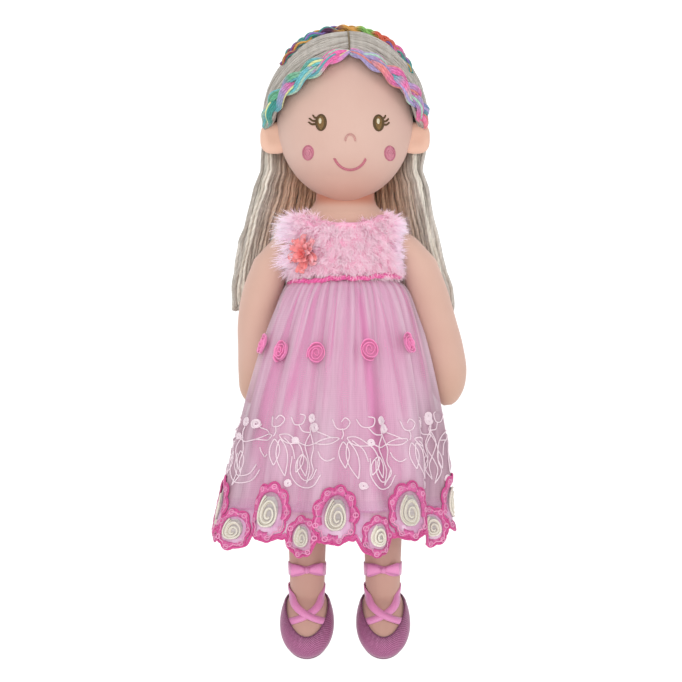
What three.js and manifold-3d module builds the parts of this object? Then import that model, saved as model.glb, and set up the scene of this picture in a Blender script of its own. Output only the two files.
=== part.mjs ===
// A soft rag doll: stuffed knit body, yarn hair with braids, fur bodice, gathered tulle skirt and slippers.
// Millimetres, +Z up. The doll faces -Y, its left side is +X, and the origin is the middle of its waist.

import * as THREE from 'three';
import { mergeVertices } from 'three/addons/utils/BufferGeometryUtils.js';
import Module from 'manifold-3d';

const wasm = await Module();
wasm.setup();

// Clearances and cloth
const seatGap = 0.3;
const hangGap = 3;
const skinCloth = 1.5;
const cutOverrun = 40;

// Torso, from the waist up and down
const torsoHalfWidth = 44;
const torsoHalfDepth = 31;
const torsoTop = 57;
const torsoBottom = 93;
const torsoWaistShare = 0.88;
const torsoSideShare = 0.9;
const torsoRiseShares = [[torsoWaistShare, 0], [torsoSideShare, 0.2], [torsoSideShare, 0.72], [0.85, 0.88],
  [0.7, 0.97], [0.42, 1], [0, 1]];
const torsoDropShares = [[0, 1], [0.74, 1], [0.9, 0.93], [0.98, 0.75], [1, 0.45], [0.95, 0.15]];

// Neck and head
const neckLength = 7;
const neckHalfWidth = 24;
const neckHalfDepth = 19;
const neckSeamRadius = 12;
const headHalfWidth = 54;
const headHalfDepth = 46;
const headHalfHeight = 63.5;
const headSeamRadius = 10;

// Ears
const earReach = 11.5;
const earHalfDepth = 4.5;
const earHalfHeight = 12.5;
const earInset = 3;
const earDrop = 14.5;
const earForward = 3;

// Yarn hair
const hairSideThickness = 9;
const hairFrontThickness = 6;
const hairBackThickness = 14;
const hairTopThickness = 4;
const hairDrop = 55;
const partHalfWidth = 1.2;
const partSink = 1.5;
const hairlineRise = 49;
const hairlineReach = 49.5;
const hairlineFall = 15;
const fallLength = 94;
const fallThickness = 11;
const fallReach = 87;
const fallAlongShares = [0, 0.15, 0.36, 0.62, 1];
const fallReachShares = [0.765, 0.82, 0.89, 0.955, 1];
const fallSideShare = 0.34;

// Braids
const frontBraidRadius = 4.8;
const crownBraidRadius = 3.4;
const braidInset = 5;
const braidStartReach = 7;
const crownBraidStart = 22;

// Embroidered face, measured on the front of the head
const threadThickness = 0.9;
const eyeSpacing = 46;
const eyeHalfWidth = 3.8;
const eyeHalfHeight = 6.3;
const eyeDrop = 4;
const cheekSpacing = 65;
const cheekHalfWidth = 4.6;
const cheekHalfHeight = 5.8;
const cheekDrop = 27;
const noseRadius = 4.2;
const noseLine = 1.2;
const noseDrop = 18;
const mouthRadius = 14;
const mouthLine = 1.7;
const mouthDrop = 27;
const mouthTurnShare = 0.33;

// Arms, hanging from a round shoulder
const armLength = 125;
const armRootRadius = 14;
const armRadius = 15.8;
const armHeight = 26;
const armSeamRadius = 5;
const armAlongShares = [0, 0.145, 0.29, 0.47, 0.65, 0.8, 0.9, 0.965, 1];
const armGirthShares = [0.886, 0.92, 0.97, 1, 1, 0.95, 0.8, 0.5, 0];
const armBackShares = [0, 0.01, 0.03, 0.06, 0.09, 0.105, 0.112, 0.115, 0.116];
const armOutShares = { left: [0, 0.05, 0.1, 0.15, 0.2, 0.225, 0.22, 0.21, 0.2],
  right: [0, 0.05, 0.098, 0.125, 0.125, 0.13, 0.14, 0.14, 0.14] };

// Legs and feet
const hipShare = 0.68;
const thighRadius = 19;
const calfRadius = 14.5;
const ankleRadius = 13.6;
const legLength = 140;
const legSeamRadius = 7;
const heelShare = 0.7;
const kneeShare = 0.3;
const thighShare = 0.75;
const legAlongShares = [0, 0.015, 0.06, 0.24, 0.5, 0.75];
const footHalfLength = 34;
const footHalfWidth = 19;
const footHalfHeight = 14;
const footForward = 8;
const footDrop = 13;
const footPitch = 48;
const footEggShare = 0.12;
const footFlatShare = 0.6;

// Slippers and their ribbons
const shoeCloth = 2;
const soleThickness = 2.5;
const soleShare = 0.86;
const throatHalfWidth = 14.5;
const throatHalfLength = 29;
const throatBack = 10;
const ribbonThickness = 1;
const ribbonWidth = 6;
const ribbonCrossRise = 3;
const ribbonCrossForward = 18;
const ribbonSlope = 34;
const ribbonPitch = 22;
const calfRibbonRise = 25;
const bowHalfWidth = 7;
const bowHalfHeight = 4;
const bowHalfDepth = 2.5;
const bowSpreadShare = 0.67;

// Bodice
const bodiceThickness = 5;
const necklineHalfWidth = 27;
const necklineHalfHeight = 13;
const armholeClearance = 3;

// Skirts
const skirtLength = 168;
const skirtHemHalfWidth = 96;
const skirtHemHalfDepth = 78;
const skirtDrift = 9;
const skirtFlareShare = 0.58;
const skirtLevelShares = [0, 0.16, 0.36, 0.58, 0.76, 1];
const tulleThickness = 1.2;
const tulleFold = 6.5;
const foldCount = 12;
const foldMinorCount = 7;
const foldMinorShare = 0.35;
const foldTurnShare = 0.29;
const foldGrowShare = 0.7;
const liningThickness = 1;
const liningLength = 172;
const liningGap = 4;
const armDrape = 2;
const handShare = 0.78;
const hemDepth = 33;
const laceThickness = 2;
const scallopCount = 20;
const scallopDepth = 9;
const scallopStep = 9;
const scallopRoundShare = 0.6;
const cordRadius = 2.3;

// Rosettes and flower
const rosetteRadius = 7;
const rosetteHeight = 4.5;
const rosetteSink = 2;
const rosetteRimShare = 0.75;
const rosetteBellyShare = 0.33;
const rosetteDrop = 55;
const rosetteTurnShares = [-0.2, -0.133, -0.053, 0.05, 0.128, 0.33, 0.415, 0.5, -0.415, -0.33];
const flowerRadius = 13.5;
const petalCount = 8;
const petalDepthShare = 0.3;
const petalThickness = 5;
const petalSink = 3;
const flowerHeartRadius = 4.5;
const flowerOut = 31.7;
const flowerRise = 21.3;

// Facet counts
const bodySides = 20;
const coreSides = 12;
const headRings = 10;
const coreRings = 6;
const limbSides = 12;
const limbCoreSides = 6;
const domeRings = 4;
const skirtSides = 60;
const laceSides = 100;
const cordSteps = 36;
const cordSides = 6;
const braidSides = 8;
const braidSteps = 12;
const crownSteps = 20;
const fallSteps = 5;
const petalSteps = 6;

// Places that follow from the sizes
const quarterTurn = Math.PI / 2;
const halfTurn = Math.PI;
const fullTurn = Math.PI * 2;
const radians = THREE.MathUtils.degToRad;
const headCentre = torsoTop + neckLength + headHalfHeight;
const shoulderReach = torsoSideShare * torsoHalfWidth + seatGap + armRootRadius;
const hipReach = hipShare * torsoHalfWidth;
const hipHeight = -torsoBottom - seatGap - thighRadius;
const legBottom = hipHeight - legLength;
const capCentreY = (hairBackThickness - hairFrontThickness) / 2;
const capHalfWidth = headHalfWidth + hairSideThickness;
const capHalfDepth = headHalfDepth + (hairBackThickness + hairFrontThickness) / 2;
const capHalfHeight = headHalfHeight + hairTopThickness;
const capBottom = headCentre - hairDrop;
const earHeight = headCentre - earDrop;
const hairPlane = earHalfDepth - earForward + seatGap;
const skirtFullLength = skirtLength + hemDepth;
const cordRise = cordRadius / 2;
const waistCloth = seatGap + liningThickness + seatGap + tulleThickness;
const waistHalfWidth = torsoWaistShare * torsoHalfWidth + waistCloth;
const waistHalfDepth = torsoWaistShare * torsoHalfDepth + waistCloth;

// Joining and cutting

function mergedBody(geometry) {
  const bare = geometry.clone();
  bare.deleteAttribute('normal');
  bare.deleteAttribute('uv');
  const merged = mergeVertices(bare);
  const index = Array.from(merged.index.array);
  const kept = [];
  for (let i = 0; i < index.length; i += 3) {
    const [a, b, c] = index.slice(i, i + 3);
    if (a !== b && b !== c && c !== a) kept.push(a, b, c);
  }
  return { positions: merged.attributes.position.array, triangles: kept };
}

function solid(geometry) {
  const body = mergedBody(geometry);
  const mesh = new wasm.Mesh({
    numProp: 3,
    vertProperties: Float32Array.from(body.positions),
    triVerts: Uint32Array.from(body.triangles),
  });
  return new wasm.Manifold(mesh);
}

function geometryOf(manifold) {
  const mesh = manifold.getMesh();
  const geometry = new THREE.BufferGeometry();
  geometry.setAttribute('position', new THREE.BufferAttribute(Float32Array.from(mesh.vertProperties), 3));
  geometry.setIndex(Array.from(mesh.triVerts));
  geometry.computeVertexNormals();
  return geometry;
}

function join(...solids) {
  return solids.reduce((joined, next) => joined.add(next));
}

// Round forms

function lathe(profile, sides) {
  const points = profile.map(([r, z]) => new THREE.Vector2(r, z));
  return new THREE.LatheGeometry(points, sides).rotateX(quarterTurn);
}

function ovalLathe(profile, sides, halfWidth, halfDepth) {
  return lathe(profile, sides).scale(1, halfDepth / halfWidth, 1);
}

// Points of a quarter or half ellipse, which start or end on the axis
function arcProfile(radius, halfHeight, rings, from, to) {
  return Array.from({ length: rings + 1 }, (_, i) => {
    const angle = from + ((to - from) * i) / rings;
    const atPole = (i === 0 && from === -quarterTurn) || (i === rings && to === quarterTurn);
    return [atPole ? 0 : radius * Math.cos(angle), halfHeight * Math.sin(angle)];
  });
}

function egg(halfWidth, halfDepth, halfHeight, sides, rings) {
  const profile = arcProfile(halfWidth, halfHeight, rings, -quarterTurn, quarterTurn);
  return ovalLathe(profile, sides, halfWidth, halfDepth);
}

function post(radius, low, high, sides) {
  return lathe([[0, low], [radius, low], [radius, high], [0, high]], sides);
}

function block(low, high) {
  const size = high.clone().sub(low);
  const centre = high.clone().add(low).divideScalar(2);
  return new THREE.BoxGeometry(size.x, size.y, size.z).translate(centre.x, centre.y, centre.z);
}

// A prism along Y over an outline drawn in X and Z
function frontPrism(shape, low, high, curveSegments) {
  const geometry = new THREE.ExtrudeGeometry(shape, { depth: high - low, bevelEnabled: false, curveSegments });
  return geometry.rotateX(quarterTurn).translate(0, high, 0);
}

function sweep(points, radius, sides, steps) {
  const curve = new THREE.CatmullRomCurve3(points);
  const section = new THREE.Shape(Array.from({ length: sides }, (_, i) => {
    const angle = (fullTurn * i) / sides;
    return new THREE.Vector2(radius * Math.cos(angle), radius * Math.sin(angle));
  }));
  return new THREE.ExtrudeGeometry(section, { steps, bevelEnabled: false, extrudePath: curve });
}

// A closed skin through rings of equal counts: capped at both ends, or joined end to start when looped.
// The second half of a loop is the inside of a sheet, so its facets are split as the outside's are.
function loft(rings, looped = false) {
  const count = rings[0].length;
  const triangles = [];
  const bands = looped ? rings.length : rings.length - 1;
  for (let r = 0; r < bands; r++) {
    const here = r * count;
    const above = ((r + 1) % rings.length) * count;
    const inside = looped && r >= rings.length / 2;
    for (let i = 0; i < count; i++) {
      const j = (i + 1) % count;
      if (inside) triangles.push(here + i, here + j, above + i, here + j, above + j, above + i);
      else triangles.push(here + i, here + j, above + j, here + i, above + j, above + i);
    }
  }
  if (!looped) {
    triangles.push(...capTriangles(rings[0], 0).flatMap(([a, b, c]) => [a, c, b]));
    triangles.push(...capTriangles(rings.at(-1), (rings.length - 1) * count).flat());
  }
  const geometry = new THREE.BufferGeometry();
  const positions = rings.flat().flatMap((p) => [p.x, p.y, p.z]);
  geometry.setAttribute('position', new THREE.Float32BufferAttribute(positions, 3));
  geometry.setIndex(triangles);
  return geometry;
}

// A ring that has drawn in to a point needs no cap
function capTriangles(ring, offset) {
  if (ring[0].distanceTo(ring[1]) === 0) return [];
  const flat = ring.map((p) => new THREE.Vector2(p.x, p.y));
  return THREE.ShapeUtils.triangulateShape(flat, []).map((t) => t.map((i) => i + offset));
}

// A round ring about a centre, square to the way it faces
function roundRing(centre, aim, radius, sides) {
  const across = new THREE.Vector3(0, 1, 0).cross(aim).normalize();
  const deep = aim.clone().cross(across);
  return Array.from({ length: sides }, (_, k) => {
    const angle = (fullTurn * k) / sides;
    const point = centre.clone().addScaledVector(across, radius * Math.cos(angle));
    return point.addScaledVector(deep, radius * Math.sin(angle));
  });
}

function between(values, keys, key) {
  const last = keys.length - 1;
  const above = keys.findIndex((k) => k >= key);
  if (above === 0) return values[0];
  if (above < 0) return values[last];
  const share = (key - keys[above - 1]) / (keys[above] - keys[above - 1]);
  return values[above - 1] + (values[above] - values[above - 1]) * share;
}

// Torso and neck

function torsoSolid(grow, sides = bodySides) {
  const width = torsoHalfWidth + grow;
  const drop = torsoDropShares.map(([w, d]) => [w * width, -d * (torsoBottom + grow)]);
  const rise = torsoRiseShares.map(([w, d]) => [w * width, d * (torsoTop + grow)]);
  return solid(ovalLathe([...drop, ...rise], sides, width, torsoHalfDepth + grow));
}

function makeTorso() {
  const plug = solid(post(neckSeamRadius, 0, torsoTop, coreSides)).intersect(torsoSolid(-seatGap));
  const hole = solid(post(neckSeamRadius + seatGap, 0, torsoTop + cutOverrun, coreSides));
  const skin = torsoSolid(0).subtract(join(torsoSolid(-skinCloth, coreSides), hole));
  return { skin, stuffing: join(torsoSolid(-skinCloth - seatGap, coreSides), plug) };
}

function headSolid(grow, sides = bodySides, rings = headRings) {
  const ball = egg(headHalfWidth + grow, headHalfDepth + grow, headHalfHeight + grow, sides, rings);
  return solid(ball.translate(0, 0, headCentre));
}

function makeHead() {
  const bottom = headCentre - headHalfHeight;
  const plug = solid(post(headSeamRadius, bottom, headCentre, coreSides)).intersect(headSolid(-seatGap));
  const hole = solid(post(headSeamRadius + seatGap, bottom - cutOverrun, headCentre, coreSides));
  const skin = headSolid(0).subtract(join(headSolid(-skinCloth, coreSides, coreRings), hole));
  return { skin, stuffing: join(headSolid(-skinCloth - seatGap, coreSides, coreRings), plug) };
}

function makeNeck() {
  const low = torsoTop - neckHalfDepth;
  const high = torsoTop + neckLength + neckHalfDepth;
  const profile = [[0, low], [neckHalfWidth, low], [neckHalfWidth, high], [0, high]];
  const tube = solid(ovalLathe(profile, bodySides, neckHalfWidth, neckHalfDepth));
  return tube.subtract(torsoSolid(seatGap)).subtract(headSolid(seatGap));
}

// Ears and embroidered face

function makeEar(side) {
  const headEdge = headHalfWidth * Math.sqrt(1 - (earDrop / headHalfHeight) ** 2);
  const ear = egg(earReach, earHalfDepth, earHalfHeight, limbSides, coreRings);
  ear.translate(side * (headEdge + earInset), -earForward, earHeight);
  return solid(ear).subtract(headSolid(seatGap));
}

// Thread lies on the front of the head over an outline
function stitched(shape, curveSegments = coreSides) {
  const thread = headSolid(seatGap + threadThickness).subtract(headSolid(seatGap));
  return thread.intersect(solid(frontPrism(shape, -headHalfDepth - cutOverrun, 0, curveSegments)));
}

function ovalPatch(x, z, halfWidth, halfHeight) {
  const shape = new THREE.Shape();
  shape.absellipse(x, z, halfWidth, halfHeight, 0, fullTurn);
  return stitched(shape, coreSides / 2);
}

function archPatch(z, radius, line, from, to) {
  const shape = new THREE.Shape();
  shape.absarc(0, z, radius + line / 2, from, to, false);
  shape.absarc(0, z, radius - line / 2, to, from, true);
  return stitched(shape, coreSides / 2);
}

function makeMouth() {
  const turn = mouthTurnShare * halfTurn;
  const centre = headCentre - mouthDrop;
  return archPatch(centre, mouthRadius, mouthLine, -quarterTurn - turn, -quarterTurn + turn);
}

// Hair

function capSolid(grow, low = capBottom) {
  const width = capHalfWidth + grow;
  const dome = arcProfile(width, capHalfHeight + grow, headRings / 2, 0, quarterTurn);
  const profile = [[0, low], [width, low], ...dome.map(([r, z]) => [r, z + headCentre])];
  return solid(ovalLathe(profile, bodySides, width, capHalfDepth + grow).translate(0, capCentreY, 0));
}

// The face opening is an inverted V from the part to the ears, open before the ears below it
function faceWedge() {
  const reach = capHalfWidth + cutOverrun;
  const low = capBottom - cutOverrun;
  const half = [[hairlineReach, headCentre], [reach, headCentre - hairlineFall], [reach, low]];
  const left = half.map(([x, z]) => [-x, z]).reverse();
  const outline = [[0, headCentre + hairlineRise], ...left.reverse(), ...half.reverse()];
  const shape = new THREE.Shape(outline.map(([x, z]) => new THREE.Vector2(x, z)));
  return solid(frontPrism(shape, -capHalfDepth - cutOverrun, hairPlane, 1));
}

function slab(fromX, toX) {
  const reach = capHalfDepth + cutOverrun;
  const low = new THREE.Vector3(fromX, -reach, capBottom - cutOverrun);
  const high = new THREE.Vector3(toX, reach, headCentre + capHalfHeight + cutOverrun);
  return solid(block(low, high));
}

function makeHairCap() {
  const yarn = (sink) => capSolid(-sink, capBottom + sink).subtract(headSolid(seatGap)).subtract(faceWedge());
  const left = yarn(0).intersect(slab(partHalfWidth, capHalfWidth + cutOverrun));
  const seam = yarn(partSink).intersect(slab(seatGap - partHalfWidth, partHalfWidth - seatGap));
  return { left, right: left.mirror([1, 0, 0]), seam };
}

// A point on the front of the cap, lifted off it
function onCap(x, z, lift) {
  const rise = z - headCentre;
  const y = -capHalfDepth * Math.sqrt(1 - (x / capHalfWidth) ** 2 - (rise / capHalfHeight) ** 2);
  const normal = new THREE.Vector3(x / capHalfWidth ** 2, y / capHalfDepth ** 2, rise / capHalfHeight ** 2);
  return new THREE.Vector3(x, y + capCentreY, z).addScaledVector(normal.normalize(), lift);
}

function makeFrontBraid(side) {
  const points = Array.from({ length: braidSteps / 2 + 1 }, (_, i) => {
    const x = braidStartReach + ((hairlineReach - braidStartReach) * i) / (braidSteps / 2);
    const z = headCentre + hairlineRise * (1 - x / hairlineReach) + braidInset;
    return onCap(side * x, z, frontBraidRadius + seatGap);
  });
  return solid(sweep(points, frontBraidRadius, braidSides, braidSteps));
}

function makeCrownBraid() {
  const lift = crownBraidRadius + seatGap;
  const start = radians(crownBraidStart);
  const points = Array.from({ length: crownSteps + 1 }, (_, i) => {
    const angle = start + ((halfTurn - start - start) * i) / crownSteps;
    const x = (capHalfWidth + lift) * Math.cos(angle);
    return new THREE.Vector3(x, capCentreY, headCentre + (capHalfHeight + lift) * Math.sin(angle));
  });
  return solid(sweep(points, crownBraidRadius, braidSides, crownSteps));
}

// Arms: stations down the middle line, and a round section at any height

function armStations(side, grow = 0) {
  const out = side > 0 ? armOutShares.left : armOutShares.right;
  return armAlongShares.map((along, i) => {
    const place = new THREE.Vector3(side * out[i], armBackShares[i], -along).multiplyScalar(armLength);
    const centre = place.add(new THREE.Vector3(side * shoulderReach, 0, armHeight));
    const radius = i ? armGirthShares[i] * armRadius : armRootRadius;
    return { centre, radius: radius > 0 ? radius + grow : 0 };
  });
}

function armAt(side, z) {
  const stations = armStations(side).reverse();
  const heights = stations.map((s) => s.centre.z);
  if (z < heights[0] || z > armHeight + armRootRadius) return null;
  const girth = between(stations.map((s) => s.radius), heights, z);
  return {
    x: between(stations.map((s) => s.centre.x), heights, z),
    y: between(stations.map((s) => s.centre.y), heights, z),
    radius: Math.max(girth, handShare * armRadius),
  };
}

// Half a ball over the first station, rings down the middle line and a point at the end
function armSolid(side, grow, sides) {
  const stations = armStations(side, grow);
  const aims = stations.map((s, i) => {
    const before = stations[Math.max(i - 1, 0)].centre;
    const after = stations[Math.min(i + 1, stations.length - 1)].centre;
    return after.clone().sub(before).normalize();
  });
  const root = stations[0];
  const dome = Array.from({ length: domeRings + 1 }, (_, d) => {
    const angle = (quarterTurn * d) / domeRings;
    const centre = root.centre.clone().addScaledVector(aims[0], -root.radius * Math.cos(angle));
    return roundRing(centre, aims[0], d ? root.radius * Math.sin(angle) : 0, sides);
  });
  const rings = stations.slice(1).map((s, i) => {
    const centre = s.radius ? s.centre : s.centre.clone().addScaledVector(aims[i + 1], grow);
    return roundRing(centre, aims[i + 1], s.radius, sides);
  });
  return solid(loft([...dome, ...rings]));
}

// The filling fills the seam hole in the skin, which faces the torso
function makeArm(side) {
  const seam = (radius) => {
    const peg = post(radius, 0, cutOverrun, limbCoreSides).rotateY(-side * quarterTurn);
    return solid(peg.translate(side * shoulderReach, 0, armHeight));
  };
  const core = armSolid(side, -skinCloth, limbCoreSides);
  const skin = armSolid(side, 0, limbSides);
  const fill = armSolid(side, -skinCloth - seatGap, limbCoreSides);
  return {
    skin: skin.subtract(join(core, seam(armSeamRadius + seatGap))),
    stuffing: join(fill, seam(armSeamRadius).intersect(armSolid(side, -seatGap, limbSides))),
  };
}

// Legs, drawn for one side about its own hip line

function legSolid(grow, sides) {
  const swell = thighRadius - calfRadius;
  const radii = [0, heelShare * ankleRadius, ankleRadius, calfRadius, calfRadius + swell * kneeShare,
    calfRadius + swell * thighShare];
  const low = legBottom - grow;
  const straight = legAlongShares.map((along, i) => [i ? radii[i] + grow : 0, low + along * (hipHeight - low)]);
  const thigh = thighRadius + grow;
  const dome = arcProfile(thigh, thigh, domeRings, 0, quarterTurn).map(([r, z]) => [r, z + hipHeight]);
  return solid(lathe([...straight, ...dome], sides));
}

// The foot's own frame has the toes along -Y and the instep along +Z
function footEgg(grow, sides) {
  const long = footHalfLength + grow;
  const shape = egg(footHalfWidth + grow, footHalfHeight + grow, long, sides, coreRings).rotateX(quarterTurn);
  const place = shape.attributes.position;
  for (let i = 0; i < place.count; i++) {
    place.setX(i, place.getX(i) * (1 - (footEggShare * place.getY(i)) / long));
  }
  return shape;
}

function underSole(height) {
  const reach = footHalfLength + cutOverrun;
  return block(new THREE.Vector3(-reach, -reach, -reach), new THREE.Vector3(reach, reach, height));
}

const solePlane = -footFlatShare * footHalfHeight;

function tilted(geometry) {
  return geometry.rotateX(radians(footPitch)).translate(0, -footForward, legBottom - footDrop);
}

function roundFoot(grow, sides = limbSides) {
  return solid(tilted(footEgg(grow, sides)));
}

function footSolid(grow, sides) {
  const flat = solePlane + seatGap - grow;
  return roundFoot(grow, sides).subtract(solid(tilted(underSole(flat))));
}

function limbSolid(grow, sides = limbSides) {
  return join(legSolid(grow, sides), footSolid(grow, sides));
}

function makeLeg() {
  const peg = solid(post(legSeamRadius, hipHeight, hipHeight + thighRadius, limbCoreSides));
  const hole = solid(post(legSeamRadius + seatGap, hipHeight, hipHeight + cutOverrun, limbCoreSides));
  const skin = limbSolid(0).subtract(join(limbSolid(-skinCloth, limbCoreSides), hole));
  const fill = limbSolid(-skinCloth - seatGap, limbCoreSides);
  return { skin, stuffing: join(fill, peg.intersect(legSolid(-seatGap, limbSides))) };
}

// Slippers

function throat(grow) {
  const shape = new THREE.Shape();
  shape.absellipse(0, throatBack, throatHalfWidth - grow, throatHalfLength - grow, 0, fullTurn);
  const options = { depth: footHalfHeight + cutOverrun, bevelEnabled: false, curveSegments: limbSides };
  return new THREE.ExtrudeGeometry(shape, options);
}

function shoeSolid(grow) {
  const outer = roundFoot(seatGap + shoeCloth + grow);
  return outer.subtract(solid(tilted(underSole(solePlane - grow)))).subtract(solid(tilted(throat(grow))));
}

function makeShoeUpper() {
  return shoeSolid(0).subtract(join(legSolid(seatGap, limbSides), roundFoot(seatGap)));
}

function makeSole() {
  const halfWidth = soleShare * (footHalfWidth + shoeCloth);
  const halfLength = soleShare * (footHalfLength + shoeCloth);
  const points = Array.from({ length: bodySides }, (_, i) => {
    const angle = (fullTurn * i) / bodySides;
    const y = halfLength * Math.sin(angle);
    return new THREE.Vector2(halfWidth * Math.cos(angle) * (1 - (footEggShare * y) / halfLength), y);
  });
  const sole = new THREE.ExtrudeGeometry(new THREE.Shape(points), { depth: soleThickness, bevelEnabled: false });
  return solid(tilted(sole.translate(0, 0, solePlane - seatGap - soleThickness)));
}

// Ribbons lie on the leg and foot where a flat slab passes through them

function ribbonSlab(pitch, slope, y, z) {
  const reach = thighRadius + cutOverrun;
  const half = new THREE.Vector3(reach, reach, ribbonWidth / 2);
  const band = block(half.clone().negate(), half).rotateX(radians(pitch)).rotateY(radians(slope));
  return solid(band.translate(0, y, z));
}

// Each band climbs to one side of the ankle and stops at the middle behind it
function instepBand(side) {
  const reach = thighRadius + cutOverrun;
  const height = legBottom - footDrop + ribbonCrossRise;
  const beyond = block(new THREE.Vector3(-reach, 0, -reach), new THREE.Vector3(0, reach, reach));
  if (side < 0) beyond.rotateY(halfTurn);
  const band = ribbonSlab(ribbonPitch, -side * ribbonSlope, -ribbonCrossForward, height);
  return band.subtract(solid(beyond.translate(0, 0, legBottom)));
}

function makeRibbons() {
  const cloth = limbSolid(seatGap + ribbonThickness).subtract(limbSolid(seatGap));
  const instep = cloth.intersect(join(instepBand(-1), instepBand(1))).subtract(shoeSolid(seatGap));
  const height = legBottom + calfRibbonRise;
  const ring = cloth.intersect(ribbonSlab(0, 0, 0, height));
  const loops = [-1, 1].map((side) => {
    const loop = egg(bowHalfWidth, bowHalfDepth, bowHalfHeight, limbCoreSides, limbCoreSides / 2);
    return solid(loop.translate(side * bowSpreadShare * bowHalfWidth, -calfRadius - ribbonThickness, height));
  });
  const bow = join(...loops).subtract(legSolid(seatGap, limbSides));
  return { instep, calf: join(ring, bow) };
}

// Bodice, cord and flower

function makeBodice() {
  const low = cordRise + cordRadius + seatGap;
  const reach = torsoHalfWidth + cutOverrun;
  const shell = torsoSolid(bodiceThickness).subtract(torsoSolid(seatGap));
  const floor = new THREE.Vector3(-reach, -reach, -reach - torsoBottom);
  const below = block(floor, new THREE.Vector3(reach, reach, low));
  const neckline = egg(necklineHalfWidth, reach, necklineHalfHeight, coreSides, coreRings);
  neckline.translate(0, 0, torsoTop);
  return shell.subtract(solid(below)).subtract(solid(neckline)).subtract(armholes());
}

// Each armhole is as wide as the arm that swings in it, round below and open above
function armholes() {
  const half = armRootRadius + armholeClearance;
  const wide = torsoSideShare * torsoHalfWidth;
  const holes = [-1, 1].map((side) => {
    const round = post(half, 0, cutOverrun, coreSides).rotateY(side * quarterTurn);
    const open = block(new THREE.Vector3(0, -half, 0), new THREE.Vector3(cutOverrun, half, torsoTop));
    open.rotateZ(side > 0 ? 0 : halfTurn);
    return join(solid(round), solid(open)).translate([side * wide, 0, armHeight]);
  });
  return join(...holes);
}

function makeCord() {
  const lift = seatGap + cordRadius;
  const rings = Array.from({ length: cordSteps }, (_, i) => {
    const angle = (fullTurn * i) / cordSteps;
    const x = (waistHalfWidth + lift) * Math.cos(angle);
    const y = (waistHalfDepth + lift) * Math.sin(angle);
    const out = new THREE.Vector3(Math.cos(angle), Math.sin(angle), 0);
    return Array.from({ length: cordSides }, (_, k) => {
      const turn = (fullTurn * k) / cordSides;
      const point = new THREE.Vector3(x, y, cordRise - cordRadius * Math.sin(turn));
      return point.addScaledVector(out, cordRadius * Math.cos(turn));
    });
  });
  return solid(loft(rings, true));
}

// A place on the outside of the bodice, with the way it faces
function onBodice(x, z) {
  const width = torsoSideShare * (torsoHalfWidth + bodiceThickness);
  const depth = torsoSideShare * (torsoHalfDepth + bodiceThickness);
  const y = -depth * Math.sqrt(1 - (x / width) ** 2);
  const normal = new THREE.Vector3(x / width ** 2, y / depth ** 2, 0).normalize();
  return { point: new THREE.Vector3(x, y, z), normal };
}

function aimed(geometry, place) {
  const turn = new THREE.Quaternion().setFromUnitVectors(new THREE.Vector3(0, 0, 1), place.normal);
  return geometry.applyQuaternion(turn).translate(place.point.x, place.point.y, place.point.z);
}

function makeFlower() {
  const place = onBodice(-flowerOut, flowerRise);
  const count = petalCount * petalSteps;
  const outline = Array.from({ length: count }, (_, i) => {
    const angle = (fullTurn * i) / count;
    const radius = flowerRadius * (1 - petalDepthShare * (1 - Math.abs(Math.cos((petalCount * angle) / 2))));
    return new THREE.Vector2(radius * Math.cos(angle), radius * Math.sin(angle));
  });
  const options = { depth: petalThickness, bevelEnabled: false };
  const petals = new THREE.ExtrudeGeometry(new THREE.Shape(outline), options).translate(0, 0, -petalSink);
  const dome = arcProfile(flowerHeartRadius, flowerHeartRadius, domeRings / 2, 0, quarterTurn);
  const heart = lathe([[0, 0], ...dome], coreSides).translate(0, 0, petalThickness - petalSink + seatGap);
  return {
    petals: solid(aimed(petals, place)).subtract(torsoSolid(bodiceThickness + seatGap)),
    heart: solid(aimed(heart, place)),
  };
}

// Skirts: the outside of the tulle at any turn and depth below the waist

function skirtRadius(turn, depth) {
  const share = Math.min(depth / skirtFullLength, 1);
  const flare = share ** skirtFlareShare;
  const wide = waistHalfWidth + (skirtHemHalfWidth - waistHalfWidth) * flare;
  const deep = waistHalfDepth + (skirtHemHalfDepth - waistHalfDepth) * flare;
  const oval = (wide * deep) / Math.hypot(deep * Math.cos(turn), wide * Math.sin(turn));
  const major = (1 - foldMinorShare) * Math.cos(foldCount * turn + foldTurnShare * fullTurn);
  const minor = foldMinorShare * Math.cos(foldMinorCount * turn);
  const free = oval + tulleFold * share ** foldGrowShare * (major + minor);
  const halfStep = halfTurn / skirtSides;
  const limits = [-halfStep, 0, halfStep].map((step) => armLimit(turn + step, depth));
  return Math.min(free, ...limits);
}

function skirtCentre(depth) {
  return (-skirtDrift * depth) / skirtFullLength;
}

// How far the cloth may reach before it meets an arm that hangs beside it
function armLimit(turn, depth) {
  const reaches = [-1, 1].map((side) => {
    const arm = armAt(side, -depth);
    if (!arm) return Infinity;
    const x = arm.x - skirtCentre(depth);
    const along = x * Math.cos(turn) + arm.y * Math.sin(turn);
    const aside = x * Math.sin(turn) - arm.y * Math.cos(turn);
    const clear = arm.radius + armDrape;
    if (along < 0 || Math.abs(aside) > clear) return Infinity;
    return along - Math.sqrt(clear ** 2 - aside ** 2);
  });
  return Math.min(...reaches);
}

function skirtRing(depth, sides, inset, fall = () => 0) {
  return Array.from({ length: sides }, (_, i) => {
    const turn = (fullTurn * i) / sides;
    const low = depth + fall(turn);
    const radius = skirtRadius(turn, low) - inset;
    return new THREE.Vector3(skirtCentre(low) + radius * Math.cos(turn), radius * Math.sin(turn), -low);
  });
}

function skirtLevels(length) {
  return skirtLevelShares.map((share) => share * length).reverse();
}

function sheetSolid(depths, thickness, inset) {
  const outer = depths.map((depth) => skirtRing(depth, skirtSides, inset(depth)));
  const inner = depths.map((depth) => skirtRing(depth, skirtSides, inset(depth) + thickness)).reverse();
  return solid(loft([...outer, ...inner], true));
}

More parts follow.
